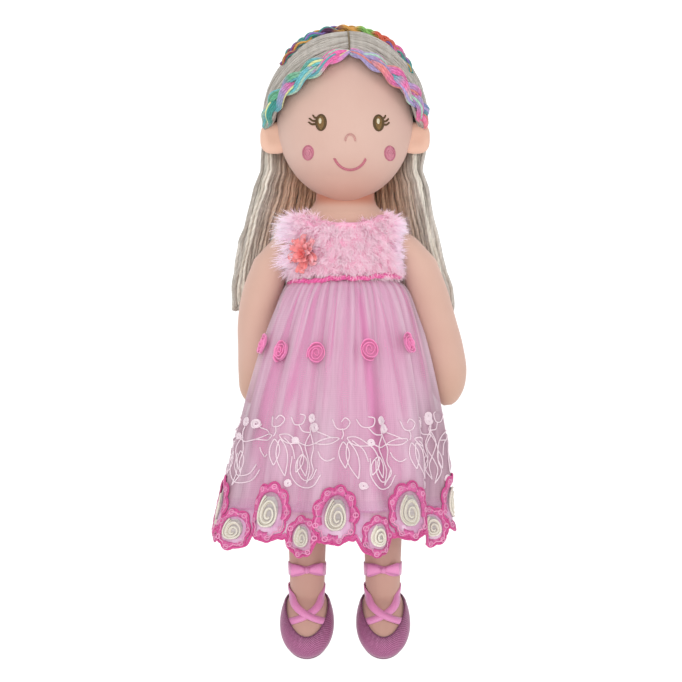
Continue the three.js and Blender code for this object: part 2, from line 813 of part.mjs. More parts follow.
function makeTulle() {
  return sheetSolid(skirtLevels(skirtLength), tulleThickness, () => 0);
}

function makeUnderskirt() {
  const inset = (depth) => tulleThickness + seatGap + liningGap * Math.sqrt(depth / liningLength);
  const depths = [liningLength, ...skirtLevels(skirtLength).slice(1)];
  return sheetSolid(depths, liningThickness, inset);
}

// Scallops hang low and high in turn, with a low one's neighbour facing the front
function scallopFall(turn) {
  const phase = ((turn + quarterTurn) / fullTurn) * scallopCount + 1 / 2;
  const number = Math.floor(phase);
  const across = phase - number;
  const round = Math.sin(halfTurn * across) ** scallopRoundShare;
  const step = across === 0 ? 1 / 2 : Math.abs(number % 2);
  return scallopStep * step + scallopDepth * (round - 1);
}

function makeLace() {
  const top = skirtLength + seatGap;
  const bottom = skirtFullLength;
  const rings = [skirtRing(bottom, laceSides, 0, scallopFall), skirtRing(top, laceSides, 0)];
  const innerTop = skirtRing(top, laceSides, laceThickness);
  const inner = [innerTop, skirtRing(bottom, laceSides, laceThickness, scallopFall)];
  return solid(loft([...rings, ...inner], true));
}

function makeRosettes() {
  const around = skirtLevels(skirtLength).slice(1, -1).map((depth) => skirtRing(depth, skirtSides, -seatGap));
  const skirt = solid(loft(around));
  return rosetteTurnShares.map((share) => {
    const turn = share * fullTurn - quarterTurn;
    const radius = skirtRadius(turn, rosetteDrop);
    const point = new THREE.Vector3(skirtCentre(rosetteDrop) + radius * Math.cos(turn), radius * Math.sin(turn),
      -rosetteDrop);
    const lower = skirtRadius(turn, rosetteDrop + rosetteRadius);
    const upper = skirtRadius(turn, rosetteDrop - rosetteRadius);
    const rise = (lower - upper) / (rosetteRadius + rosetteRadius);
    const normal = new THREE.Vector3(Math.cos(turn), Math.sin(turn), rise).normalize();
    const rim = rosetteRimShare * rosetteRadius;
    const profile = [[0, -rosetteSink], [rim, -rosetteSink], [rosetteRadius, rosetteHeight * rosetteBellyShare],
      [rim, rosetteHeight * rosetteRimShare], [0, rosetteHeight]];
    return solid(aimed(lathe(profile, limbCoreSides), { point, normal })).subtract(skirt);
  });
}

// Long yarn behind the shoulders: a curtain in three parts, clear of the arms, bodice and skirt

function fallPlan(share, index) {
  const z = capBottom - seatGap - share * (fallLength - seatGap);
  const reach = fallReach * fallReachShares[index];
  const sides = [-1, 1].map((side) => armAt(side, z)).filter((arm) => arm);
  const beside = Math.max(armRootRadius, ...sides.map((arm) => arm.y + arm.radius)) + hangGap;
  const shoulder = armHeight + armRootRadius;
  const down = Math.min((capBottom - z) / (capBottom - shoulder), 1);
  const front = hairPlane + (beside - hairPlane) * down;
  const behindHead = capCentreY + capHalfDepth - fallThickness;
  const behindBody = torsoHalfDepth + bodiceThickness + hangGap;
  const behind = z < 0 ? Math.max(behindBody, skirtRadius(quarterTurn, -z) + hangGap)
    : behindHead + (behindBody - behindHead) * down;
  return { z, reach, front, depth: behind - front };
}

function makeFalls() {
  const plans = fallAlongShares.map((share, i) => fallPlan(share, i)).reverse();
  const arc = (plan, turn, grow) => {
    const half = plan.reach - fallThickness + grow;
    return new THREE.Vector3(half * Math.cos(turn), plan.front + (plan.depth + grow) * Math.sin(turn), plan.z);
  };
  const part = (from, to) => solid(loft(plans.map((plan) => {
    const turns = Array.from({ length: fallSteps + 1 }, (_, i) => from + ((to - from) * i) / fallSteps);
    const outer = turns.map((turn) => arc(plan, turn, fallThickness));
    const inner = turns.map((turn) => arc(plan, turn, 0)).reverse();
    return [...outer, ...inner];
  })));
  const edge = fallSideShare * halfTurn;
  const gap = (seatGap + seatGap) / fallReach;
  return {
    left: part(0, edge),
    back: part(edge + gap, halfTurn - edge - gap),
    right: part(halfTurn - edge, halfTurn),
  };
}

// Finishes

const finish = {
  skin: [0xddbaab, 0.85],
  ear: [0xe5b79f, 0.85],
  fibre: [0xf2efe8, 0.95],
  yarn: [0xb3aa9c, 0.8],
  seam: [0xa89a84, 0.85],
  pastelBraid: [0xc9a6c0, 0.75],
  brightBraid: [0xd0703a, 0.75],
  iris: [0x8f6e43, 0.5],
  blush: [0xd8818f, 0.6],
  smile: [0xc46a72, 0.6],
  fur: [0xf0b2ca, 0.95],
  cord: [0xd2568c, 0.6],
  satin: [0xe08cb8, 0.4],
  tulle: [0xdfb2cf, 0.6],
  lace: [0xe0588f, 0.6],
  rose: [0xe277ac, 0.5],
  coral: [0xe46f6f, 0.5],
  slipper: [0xa05785, 0.45],
  sole: [0x8a4470, 0.8],
  ribbon: [0xc987a8, 0.4],
};

function piece(name, manifold, kind) {
  const [color, roughness] = finish[kind];
  const material = new THREE.MeshStandardMaterial({ color, roughness, metalness: 0 });
  const mesh = new THREE.Mesh(geometryOf(manifold), material);
  mesh.name = name;
  return mesh;
}

// Assembly

const head = makeHead();
const torso = makeTorso();
const cap = makeHairCap();
const falls = makeFalls();
const flower = makeFlower();
const doll = new THREE.Group();

doll.add(
  piece('head_skin', head.skin, 'skin'),
  piece('head_stuffing', head.stuffing, 'fibre'),
  piece('nose', archPatch(headCentre - noseDrop, noseRadius, noseLine, 0, halfTurn), 'smile'),
  piece('mouth', makeMouth(), 'smile'),
  piece('hair_cap_left', cap.left, 'yarn'),
  piece('hair_cap_right', cap.right, 'yarn'),
  piece('parting_seam', cap.seam, 'seam'),
  piece('hair_fall_left', falls.left, 'yarn'),
  piece('hair_fall_right', falls.right, 'yarn'),
  piece('hair_fall_back', falls.back, 'yarn'),
  piece('crown_braid', makeCrownBraid(), 'brightBraid'),
  piece('torso_skin', torso.skin, 'skin'),
  piece('torso_stuffing', torso.stuffing, 'fibre'),
  piece('neck', makeNeck(), 'skin'),
  piece('bodice', makeBodice(), 'fur'),
  piece('waist_cord', makeCord(), 'cord'),
  piece('underskirt', makeUnderskirt(), 'satin'),
  piece('tulle_skirt', makeTulle(), 'tulle'),
  piece('lace_border', makeLace(), 'lace'),
  piece('flower_petals', flower.petals, 'coral'),
  piece('flower_heart', flower.heart, 'coral'),
);

makeRosettes().forEach((rosette, i) => doll.add(piece(`rosette_${i + 1}`, rosette, 'rose')));

for (const [name, side] of [['left', 1], ['right', -1]]) {
  const arm = makeArm(side);
  const leg = makeLeg();
  const ribbons = makeRibbons();
  const eyeX = (side * eyeSpacing) / 2;
  const cheekX = (side * cheekSpacing) / 2;
  doll.add(
    piece(`ear_${name}`, makeEar(side), 'ear'),
    piece(`eye_${name}`, ovalPatch(eyeX, headCentre - eyeDrop, eyeHalfWidth, eyeHalfHeight), 'iris'),
    piece(`cheek_${name}`, ovalPatch(cheekX, headCentre - cheekDrop, cheekHalfWidth, cheekHalfHeight), 'blush'),
    piece(`front_braid_${name}`, makeFrontBraid(side), 'pastelBraid'),
    piece(`arm_skin_${name}`, arm.skin, 'skin'),
    piece(`arm_stuffing_${name}`, arm.stuffing, 'fibre'),
  );
  const limb = new THREE.Group();
  limb.position.x = side * hipReach;
  limb.add(
    piece(`leg_skin_${name}`, leg.skin, 'skin'),
    piece(`leg_stuffing_${name}`, leg.stuffing, 'fibre'),
    piece(`shoe_upper_${name}`, makeShoeUpper(), 'slipper'),
    piece(`shoe_sole_${name}`, makeSole(), 'sole'),
    piece(`instep_ribbon_${name}`, ribbons.instep, 'ribbon'),
    piece(`calf_ribbon_${name}`, ribbons.calf, 'ribbon'),
  );
  doll.add(limb);
}

export default doll;
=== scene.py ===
# %% [markdown]
# # A rag doll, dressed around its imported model
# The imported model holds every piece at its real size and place. Here each soft solid gets the surface
# that a hand would feel: brushed knit, yarn, fur cloth, net, lace and satin. Shapes are worked out in
# millimetres and turned to metres when a piece is made. +Z is up and the face looks towards -Y.

import math

import bpy
import numpy as np
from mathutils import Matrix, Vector
from mathutils.bvhtree import BVHTree


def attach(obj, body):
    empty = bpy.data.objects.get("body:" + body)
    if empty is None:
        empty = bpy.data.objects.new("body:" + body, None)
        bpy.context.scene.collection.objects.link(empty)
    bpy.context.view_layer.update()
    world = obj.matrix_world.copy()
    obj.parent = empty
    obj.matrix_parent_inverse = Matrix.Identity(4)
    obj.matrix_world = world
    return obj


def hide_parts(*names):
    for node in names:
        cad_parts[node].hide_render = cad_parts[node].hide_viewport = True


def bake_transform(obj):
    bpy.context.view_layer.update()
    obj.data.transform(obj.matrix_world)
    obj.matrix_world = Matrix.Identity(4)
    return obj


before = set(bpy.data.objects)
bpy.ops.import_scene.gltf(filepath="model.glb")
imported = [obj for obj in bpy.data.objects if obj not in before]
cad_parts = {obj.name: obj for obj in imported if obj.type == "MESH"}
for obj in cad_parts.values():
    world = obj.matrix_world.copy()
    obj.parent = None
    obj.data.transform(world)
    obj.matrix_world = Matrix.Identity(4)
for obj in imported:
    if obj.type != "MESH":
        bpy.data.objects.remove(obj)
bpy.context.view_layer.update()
mm = 0.001

# %% [markdown]
# ## Camera, floor and light
# The photograph was taken from about 1.5 m, level, with the lens a little below the doll's waist. A
# long lens and a white sweep under big soft lamps give the same flat, shadowless look as a shop picture.

# %% Place the camera
CAMERA_DISTANCE = 1500 * mm
CAMERA_SIDE = -3.2 * mm
CAMERA_HEIGHT = -47.5 * mm
PICTURE_WIDTH = 540.4 * mm
SENSOR_WIDTH = 36.0

camera_data = bpy.data.cameras.new("camera")
camera_data.sensor_width = SENSOR_WIDTH
camera_data.lens = SENSOR_WIDTH * CAMERA_DISTANCE / PICTURE_WIDTH
camera = bpy.data.objects.new("camera", camera_data)
camera.location = (CAMERA_SIDE, -CAMERA_DISTANCE, CAMERA_HEIGHT)
camera.rotation_euler = (math.radians(90), 0, 0)
bpy.context.scene.collection.objects.link(camera)
bpy.context.scene.camera = camera
bpy.context.scene.view_settings.view_transform = "Standard"
print("camera: lens", round(camera_data.lens, 1), "mm")


# %% [markdown]
# ## Small helpers
# Cloth and thread are all made the same way: rows of points are worked out with numpy, joined by four
# sided faces, and given a tint at each point. Thread needs a round tube along each path, so one helper
# sweeps thousands of them at once, each with its plies twisted into the surface.

# %% Colour, nodes and materials
def linear(hex_colour):
    """An sRGB hex colour as the linear red, green and blue that Blender works in."""
    parts = [int(hex_colour[i:i + 2], 16) / 255 for i in (1, 3, 5)]
    return [c / 12.92 if c <= 0.04045 else ((c + 0.055) / 1.055) ** 2.4 for c in parts]


def add_node(tree, kind, inputs=(), **settings):
    """Adds a shader node with its settings, and feeds each input with a value or another node's socket."""
    made = tree.nodes.new("ShaderNode" + kind)
    for key, value in settings.items():
        setattr(made, key, value)
    for socket, source in dict(inputs).items():
        if isinstance(source, bpy.types.NodeSocket):
            tree.links.new(source, made.inputs[socket])
        else:
            made.inputs[socket].default_value = source
    return made


def new_material(name, **sockets):
    """A material with one Principled shader, whose even values stand on its own sockets."""
    material = bpy.data.materials.new(name)
    material.use_nodes = True
    shader = material.node_tree.nodes["Principled BSDF"]
    for key, value in sockets.items():
        shader.inputs[key.replace("_", " ")].default_value = value
    return material, material.node_tree, shader


def dye_cloth(tree, shader, share, first, second):
    """Mixes two dyes by share, times the Tint of the mesh, as the colour of the cloth."""
    dyes = add_node(tree, "Mix", {0: share, 6: (*linear(first), 1), 7: (*linear(second), 1)}, data_type="RGBA")
    tint = add_node(tree, "Attribute", attribute_name="Tint")
    cloth = add_node(tree, "Mix", {0: 1.0, 6: dyes.outputs[2], 7: tint.outputs["Color"]},
                     data_type="RGBA", blend_type="MULTIPLY")
    tree.links.new(cloth.outputs[2], shader.inputs["Base Color"])


# %% Meshes from rows of points
TURN = 2 * math.pi  # once round


def grid_faces(rows, columns, around=True):
    """Quads between rows of points. With around, each row's end joins its start."""
    row = np.arange(rows - 1)[:, None]
    column = np.arange(columns if around else columns - 1)[None, :]
    here = row * columns + column
    beside = row * columns + (column + 1) % columns
    return np.stack([here, beside, beside + columns, here + columns], -1).reshape(-1, 4)


def new_piece(name, points, faces, material, tint=None, uv=None):
    """A smooth mesh object, with a Tint colour for each point and a UV for each face corner if given."""
    mesh = bpy.data.meshes.new(name)
    places = np.asarray(points, float).reshape(-1, 3) * mm
    mesh.from_pydata(places.tolist(), [], [list(map(int, f)) for f in faces])
    mesh.polygons.foreach_set("use_smooth", [True] * len(mesh.polygons))
    if tint is not None:
        colours = np.ones((len(mesh.vertices), 4), np.float32)
        colours[:, :3] = np.asarray(tint).reshape(-1, 3)
        layer = mesh.color_attributes.new("Tint", "FLOAT_COLOR", "POINT")
        layer.data.foreach_set("color", colours.ravel())
    if uv is not None:
        mesh.uv_layers.new(name="UVMap").data.foreach_set("uv", np.asarray(uv, np.float32).ravel())
    mesh.materials.append(material)
    mesh.update()
    piece = bpy.data.objects.new(name, mesh)
    bpy.context.scene.collection.objects.link(piece)
    return piece


def grid_uv(rows, columns, width, height):
    """UVs in millimetres for grid_faces with around, so that a weave has its real size."""
    u = np.arange(columns) / columns * width
    v = np.arange(rows - 1) / (rows - 1) * height
    low_u, low_v = np.meshgrid(u, v)
    high_u, high_v = low_u + width / columns, low_v + height / (rows - 1)
    corners = [(low_u, low_v), (high_u, low_v), (high_u, high_v), (low_u, high_v)]
    return np.stack([np.stack(c, -1) for c in corners], 2).reshape(-1, 2)


def run_along(points):
    """How far along a path each of its points lies."""
    return np.concatenate([[0], np.cumsum(np.linalg.norm(np.diff(points, axis=0), axis=1))])


def smooth_rows(keys, values, count):
    """Values at even steps along a smooth curve through the keyed ones."""
    keys, values = np.asarray(keys, float), np.asarray(values, float)
    slopes = np.gradient(values, keys, axis=0)
    at = np.linspace(keys[0], keys[-1], count)
    i = np.clip(np.searchsorted(keys, at, "right") - 1, 0, len(keys) - 2)
    span = keys[i + 1] - keys[i]
    t = (at - keys[i]) / span
    if values.ndim > 1:
        t, span = t[:, None], span[:, None]
    start, end = values[i], values[i + 1]
    rise = (2 * t**3 - 3 * t**2 + 1) * start + (3 * t**2 - 2 * t**3) * end
    return rise + span * ((t**3 - 2 * t**2 + t) * slopes[i] + (t**3 - t**2) * slopes[i + 1])


# %% Threads and yarns
def unit(vectors):
    return vectors / np.maximum(np.linalg.norm(vectors, axis=-1, keepdims=True), 1e-12)


def thread_frames(paths):
    """The direction of each path and two directions across it, carried along without twist."""
    along = unit(np.gradient(paths, axis=1))
    across = np.empty_like(paths)
    guide = np.where(np.abs(along[:, 0, 2:3]) > 0.9, [[0.0, 1.0, 0.0]], [[0.0, 0.0, 1.0]])
    for i in range(paths.shape[1]):
        guide = unit(guide - (guide * along[:, i]).sum(-1, keepdims=True) * along[:, i])
        across[:, i] = guide
    return along, across, np.cross(along, across)


def threads(paths, radius, sides=6, plies=0, ply_length=6.0, lobe=0.14):
    """Points, faces and UVs of round threads along paths of equal counts. Plies make a twisted surface."""
    paths = np.asarray(paths, float)
    count, steps = paths.shape[:2]
    _, across, beside = thread_frames(paths)
    gaps = np.linalg.norm(np.diff(paths, axis=1), axis=-1)
    run = np.concatenate([np.zeros((count, 1)), np.cumsum(gaps, axis=1)], axis=1)
    turn = np.arange(sides) * TURN / sides
    girth = np.broadcast_to(np.asarray(radius, float), (count, steps))[..., None]
    if plies:
        girth = girth * (1 + lobe * np.cos(plies * (turn - TURN * run[..., None] / ply_length)))
    offset = np.cos(turn)[:, None] * across[:, :, None] + np.sin(turn)[:, None] * beside[:, :, None]
    points = paths[:, :, None] + np.broadcast_to(girth, (count, steps, sides))[..., None] * offset
    body = grid_faces(steps, sides)
    starts = (np.arange(count) * steps * sides)[:, None, None]
    faces = (body[None] + starts).reshape(-1, 4).tolist()
    ring = np.arange(sides)
    for start in starts.ravel():
        faces += [(ring[::-1] + start).tolist(), (ring + start + (steps - 1) * sides).tolist()]
    u = np.arange(sides) / sides
    low_v, high_v = run[:, :-1, None], run[:, 1:, None]
    shape = (count, steps - 1, sides)
    corners = [(u, low_v), (u + 1 / sides, low_v), (u + 1 / sides, high_v), (u, high_v)]
    uv = [np.stack([np.broadcast_to(a, shape), np.broadcast_to(b, shape)], -1) for a, b in corners]
    uv = np.stack(uv, 3).reshape(-1, 2)
    return points.reshape(-1, 3), faces, np.concatenate([uv, np.zeros((count * 2 * sides, 2))])


def join_parts(parts):
    """Several (points, faces, uv, tint) as one, with the faces' numbers moved along."""
    points, faces, uvs, tints, start = [], [], [], [], 0
    for part_points, part_faces, part_uv, part_tint in parts:
        points.append(part_points)
        faces += [[i + start for i in face] for face in part_faces]
        uvs.append(part_uv)
        tints.append(np.broadcast_to(part_tint, (len(part_points), 3)))
        start += len(part_points)
    return np.concatenate(points), faces, np.concatenate(uvs), np.concatenate(tints)


def joined_piece(name, parts, material, hue=1.0):
    """One piece from several parts, with their tints times a hue."""
    points, faces, uv, tint = join_parts(parts)
    return new_piece(name, points, faces, material, tint * hue, uv)


def thread_piece(name, paths, radius, material, tint, **form):
    """One piece made of many threads. The tint is one colour, or one for each point of each path."""
    points, faces, uv = threads(paths, radius, **form)
    tint = np.broadcast_to(tint, (*paths.shape[:2], 3)).reshape(-1, 3)
    return new_piece(name, points, faces, material, np.repeat(tint, form.get("sides", 6), axis=0), uv)


# %% [markdown]
# ## Studio
# A translucent sweep, lit from behind as on a light table, stands behind and under the doll, which is held just
# clear of it. So it stays white, and takes hardly any shadow. A large lamp high in front gives the soft form
# shadows under the chin and along the arms. A lamp at the camera, one from the right and the pale world fill
# the rest, and the last one lights the sweep.

# %% Make the sweep and the lamps
FLOOR_HEIGHT = -302.0
SWEEP_HALF_WIDTH = 4000.0
SWEEP_FRONT = -3000.0
SWEEP_BACK = 1600.0
SWEEP_RADIUS = 800.0
SWEEP_TOP = 3000.0

paper, _, paper_shader = new_material("opal_sweep", Roughness=0.9)
paper_shader.inputs["Base Color"].default_value = (*linear("#7f7f7f"), 1)
paper_shader.inputs["Emission Color"].default_value = (1, 1, 1, 1)
paper_shader.inputs["Emission Strength"].default_value = 0.9
bend = [math.radians(90) * i / 12 for i in range(13)]
profile = [(SWEEP_FRONT, FLOOR_HEIGHT)]
profile += [(SWEEP_BACK + SWEEP_RADIUS * math.sin(a), FLOOR_HEIGHT + SWEEP_RADIUS * (1 - math.cos(a))) for a in bend]
profile += [(SWEEP_BACK + SWEEP_RADIUS, SWEEP_TOP)]
sweep_points = [(x, y, z) for y, z in profile for x in (-SWEEP_HALF_WIDTH, SWEEP_HALF_WIDTH)]
sweep_faces = grid_faces(len(profile), 2, around=False)
sweep = new_piece("paper_sweep", sweep_points, sweep_faces, paper)


def soft_lamp(name, place, aim, size, power):
    lamp = bpy.data.lights.new(name, "AREA")
    lamp.shape, lamp.size, lamp.energy = "DISK", size, power
    made = bpy.data.objects.new(name, lamp)
    made.location = place
    made.rotation_euler = (Vector(aim) - Vector(place)).to_track_quat("-Z", "Y").to_euler()
    bpy.context.scene.collection.objects.link(made)


soft_lamp("key_lamp", (-0.7, -1.6, 1.9), (0, 0, 0), 1.5, 12.5)
soft_lamp("front_lamp", (-0.2, -2.3, 0.3), (0, 0, 0), 1.0, 12.2)
soft_lamp("fill_lamp", (1.5, -1.4, 0.5), (0, 0, 0), 1.2, 5)
soft_lamp("backdrop_lamp", (0, 0.6, 1.9), (0, 2.0, 0.2), 1.6, 22)
world = bpy.data.worlds.new("studio")
bpy.context.scene.world = world
world.use_nodes = True
world.node_tree.nodes["Background"].inputs["Color"].default_value = (1, 1, 1, 1)
world.node_tree.nodes["Background"].inputs["Strength"].default_value = 0.58
print("studio: 4 lamps and a sweep")

# %% [markdown]
# ## Brushed knit skin
# The skin is a thin peach tricot, brushed on the outside and pulled tight over soft filling. The eye gets a
# matt surface with a faint down on its edges, and the finest ribs of the knit when it is near.

# %% Make the knit
SKIN = "#d3b2a5"
SKIN_WARM = "#c8a294"
KNIT_RIB = 1.0  # the real rib is 0.5 mm, drawn twice as coarse so that it shows
FUZZ = 0.6


def knit_material(name, colour, warm):
    """Brushed tricot: soft blotches of two near tints, vertical ribs and a fine fuzz."""
    material, tree, shader = new_material(name, Roughness=0.88, Sheen_Weight=0.35, Sheen_Roughness=0.6)
    shader.inputs["Sheen Tint"].default_value = (*linear("#fff0ea"), 1)
    place = add_node(tree, "TexCoord")
    blotch = add_node(tree, "TexNoise", {"Vector": place.outputs["Object"], "Scale": 28.0, "Detail": 3.0})
    dye_cloth(tree, shader, blotch.outputs["Fac"], warm, colour)
    rib = add_node(tree, "TexWave", {
        "Vector": place.outputs["Object"], "Scale": 2 / (TURN * KNIT_RIB * mm), "Distortion": 1.5})
    fuzz = add_node(tree, "TexNoise", {
        "Vector": place.outputs["Object"], "Scale": 1 / (FUZZ * mm), "Detail": 2.0})
    relief = add_node(tree, "Math", {0: fuzz.outputs["Fac"], 1: rib.outputs["Fac"]}, operation="ADD")
    bump = add_node(tree, "Bump", {
        "Height": relief.outputs[0], "Strength": 0.25, "Distance": 0.12 * mm})
    tree.links.new(bump.outputs["Normal"], shader.inputs["Normal"])
    return material


knit = knit_material("brushed_tricot", SKIN, SKIN_WARM)
EVEN = (1.0, 1.0, 1.0)


def closed_faces(rows, columns):
    """Faces of rings from one end to the other, with both ends closed."""
    ends = [list(range(columns))[::-1], [(rows - 1) * columns + i for i in range(columns)]]
    return grid_faces(rows, columns).tolist() + ends


def soft_form(name, rings, material, tint=EVEN):
    """A stuffed form from rings of points, closed at both ends, with the same tint all over or one a point."""
    return new_piece(name, rings, closed_faces(*rings.shape[:2]), material, np.broadcast_to(tint, rings.shape))


def plain_part(rings, shade):
    """A closed form from its rings, as a part with one shade and no weave."""
    faces = closed_faces(*rings.shape[:2])
    return rings.reshape(-1, 3), faces, np.zeros((sum(map(len, faces)), 2)), [shade] * 3


# %% Put the pieces on their bodies
SIDES = {1: "left", -1: "right"}  # the doll's own, left towards +X


def sew_on(piece, body, slot, *nodes):
    """The piece rides its body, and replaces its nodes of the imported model."""
    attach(piece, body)
    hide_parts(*nodes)


# %% [markdown]
# ## Head
# The head is a ball of tricot over firm filling, a little flat at the back, with the nose and cheeks only
# stitched on it. Rings of points give the ball; the chin is pushed down and forward a little so the face is
# fuller there, and the skin under it is painted darker and redder, a painted shade for the shadow under it.

# %% Make the head
HEAD_HALF = np.array([54.0, 46.0, 63.5])
HEAD_CENTRE = np.array([0.0, 0.0, 127.5])
POLE = 0.05


def ball_rings(half, rows, columns):
    """Rings of a ball with the given half sizes, from the lowest to the highest."""
    lift = np.linspace(-math.pi / 2 + POLE, math.pi / 2 - POLE, rows)[:, None]
    turn = np.arange(columns)[None, :] * TURN / columns
    round_ball = [np.cos(lift) * np.cos(turn), np.cos(lift) * np.sin(turn), np.sin(lift) * np.ones_like(turn)]
    return np.stack(round_ball, -1) * half


def on_face(x, z, proud=0.0):
    """A place on the front of the head."""
    x, z = np.asarray(x, float), np.asarray(z, float)
    half = HEAD_HALF + proud
    inside = 1 - (x / half[0]) ** 2 - ((z - HEAD_CENTRE[2]) / half[2]) ** 2
    return np.stack(np.broadcast_arrays(x, -half[1] * np.sqrt(np.maximum(inside, 0.0)), z), -1)


head_rings = ball_rings(HEAD_HALF, 72, 120)
full = np.exp(-(head_rings[..., 0] / 25) ** 2) * np.clip((-head_rings[..., 2] / HEAD_HALF[2] - 0.74) / 0.2, 0, 1)
full = full * np.clip(-head_rings[..., 1] / 16, 0, 1)
head_rings = head_rings - full[..., None] * [0, 2.5, 6.5]
# Painted shade: the skin is painted darker and redder towards the bottom of the chin, for the shadow under it.
chin = np.clip(-head_rings[..., 2:] / HEAD_HALF[2] - 0.45, 0, 1) / 0.55
head_painted_shade = 1 - chin ** 1.3 * (1 - np.array([0.79, 0.59, 0.54]))
head = soft_form("head_ball", head_rings + HEAD_CENTRE, knit, head_painted_shade)
sew_on(head, "head", "skin_knit", "head_skin", "head_stuffing")
print("head:", len(head.data.vertices), "points")

# %% [markdown]
# ## Ears
# Each ear is a small flat pad, sewn on at its inner edge and dished in front where a few stitches pull it.
# A ball squared off a little has the outline; its front is pressed in at the middle.

# %% Make the ears
EAR_HALF = np.array([11.5, 4.5, 12.5])
EAR_OUT = 55.6
EAR_BACK = -3.0
EAR_HEIGHT = 113.0
EAR_DISH = 3.2
EAR_SQUARE = 0.72
# Painted light: the ears are tinted lighter and warmer than the other skin, to lift the hair's shadow on them.
ear_painted_light = np.array([1.23, 1.17, 1.06])


def make_ear(side):
    """An ear as a squared ball, dished in front."""
    rings = ball_rings(np.ones(3), 28, 40)
    rings = np.sign(rings) * np.abs(rings) ** np.array([EAR_SQUARE, 1.0, EAR_SQUARE]) * EAR_HALF
    flat = np.hypot(rings[..., 0] / EAR_HALF[0] - 0.05, rings[..., 2] / EAR_HALF[2])
    rings[..., 1] += np.where(rings[..., 1] < 0, EAR_DISH, 0) * np.exp(-(flat / 0.5) ** 2)
    rings[..., 0] *= side
    if side < 0:
        rings = rings[:, ::-1]
    centre = [side * EAR_OUT, EAR_BACK, EAR_HEIGHT]
    ear = soft_form(f"ear_pad_{SIDES[side]}", rings + centre, knit, ear_painted_light)
    sew_on(ear, "head", "skin_knit", f"ear_{SIDES[side]}")


make_ear(1)
make_ear(-1)

# %% [markdown]
# ## Yarn and thread finishes
# Yarn, cord and embroidery thread are all plies twisted round each other, so all of them show slanting dark
# lines where two plies meet. The UVs run round and along every thread, so one sine wave of both draws the
# plies on any of them. Acrylic yarn is matt and fuzzy; rayon embroidery thread is smooth and shines.

# %% Make the yarn and thread finishes
def thread_material(name, roughness, plies, ply_length, groove, sheen=0.0, relief=0.15):
    """Twisted thread with its Tint colours, darker by groove between its plies."""
    material, tree, shader = new_material(name, Roughness=roughness, Sheen_Weight=sheen)
    place = add_node(tree, "UVMap")
    parts = add_node(tree, "SeparateXYZ", {0: place.outputs["UV"]})
    along = add_node(tree, "Math", {0: parts.outputs["Y"], 1: 1 / ply_length}, operation="MULTIPLY")
    twist = add_node(tree, "Math", {0: parts.outputs["X"], 1: along.outputs[0]}, operation="SUBTRACT")
    phase = add_node(tree, "Math", {0: twist.outputs[0], 1: TURN * plies}, operation="MULTIPLY")
    wave = add_node(tree, "Math", {0: phase.outputs[0]}, operation="SINE")
    depth = add_node(tree, "MapRange", {
        "Value": wave.outputs[0], "From Min": -1.0, "From Max": 0.6, "To Min": 1 - groove, "To Max": 1.0})
    fine = add_node(tree, "Mapping", {"Vector": place.outputs["UV"], "Scale": (5.0, 0.35, 1.0)})
    fibre = add_node(tree, "TexNoise", {"Vector": fine.outputs[0], "Scale": 1.0, "Detail": 3.0})
    uneven = add_node(tree, "MapRange", {
        "Value": fibre.outputs["Fac"], "From Min": 0.3, "From Max": 0.7, "To Min": 0.88, "To Max": 1.08})
    shade = add_node(tree, "Math", {0: depth.outputs["Result"], 1: uneven.outputs["Result"]},
                     operation="MULTIPLY")
    tint = add_node(tree, "Attribute", attribute_name="Tint")
    colour = add_node(tree, "VectorMath", {0: tint.outputs["Color"], 1: shade.outputs[0]},
                      operation="MULTIPLY")
    tree.links.new(colour.outputs[0], shader.inputs["Base Color"])
    height = add_node(tree, "Math", {0: wave.outputs[0], 1: fibre.outputs["Fac"]}, operation="ADD")
    bump = add_node(tree, "Bump", {
        "Height": height.outputs[0], "Strength": 0.5, "Distance": relief * mm})
    tree.links.new(bump.outputs["Normal"], shader.inputs["Normal"])
    return material


acrylic_yarn = thread_material("acrylic_yarn", 0.75, 2, 16.0, 0.14, sheen=0.25, relief=0.14)
rayon_thread = thread_material("rayon_thread", 0.42, 2, 2.2, 0.3, relief=0.08)

# %% [markdown]
# ## Hair
# The wig is 3 mm acrylic yarn. It is stitched down along a centre part, laid sideways over the head, and
# hangs loose from the ears down. A particle system could comb it, but here every yarn is known: it starts on
# the part, follows a great circle to the side of the head, and drops. So the paths are worked out directly,
# and each one is cut in two where the loose hair starts, and the loose halves become pieces of their own.

# %% Work out the yarn paths
CAP_HALF = np.array([65.8, 57.5, 70.6])
CAP_CENTRE = np.array([0.0, 4.0, 127.5])
CAP_LOW = 72.5
FALL_LENGTH = 94.0
FALL_DOWN = [-112, -88, -71, -52, -33, -14, 5, 24]
FALL_REACH = {1: [65.8, 62, 67.5, 72, 77, 82, 88, 90], -1: [65.8, 67.5, 73.5, 80, 86, 89, 92, 92.5]}
HAIR_PLANE = 1.8
YARN_RADIUS = 1.25
LOOSE_RADIUS = 1.65
PART_FROM, PART_TO = math.radians(44), math.radians(168)
FRONT_TURN, SIDE_TURN = math.radians(-31), math.radians(1)
YARN_LIGHT, YARN_MID, YARN_DARK = linear("#cac3ba"), linear("#bab2a9"), linear("#a9a096")
PART_SHIFT = 4.0
rng = np.random.default_rng(7)


def eased(value):
    """0 to 1 with a soft start and end, as the value goes from 0 to 1."""
    value = np.clip(value, 0, 1)
    return value * value * (3 - 2 * value)


def hair_reach(height, side):
    """How far out the hair stands beside the face, where it is fuller on the doll's right."""
    wide, slim = (np.interp(-height, FALL_DOWN, FALL_REACH[k]) for k in (-1, 1))
    return np.where(side < 0, wide, slim)


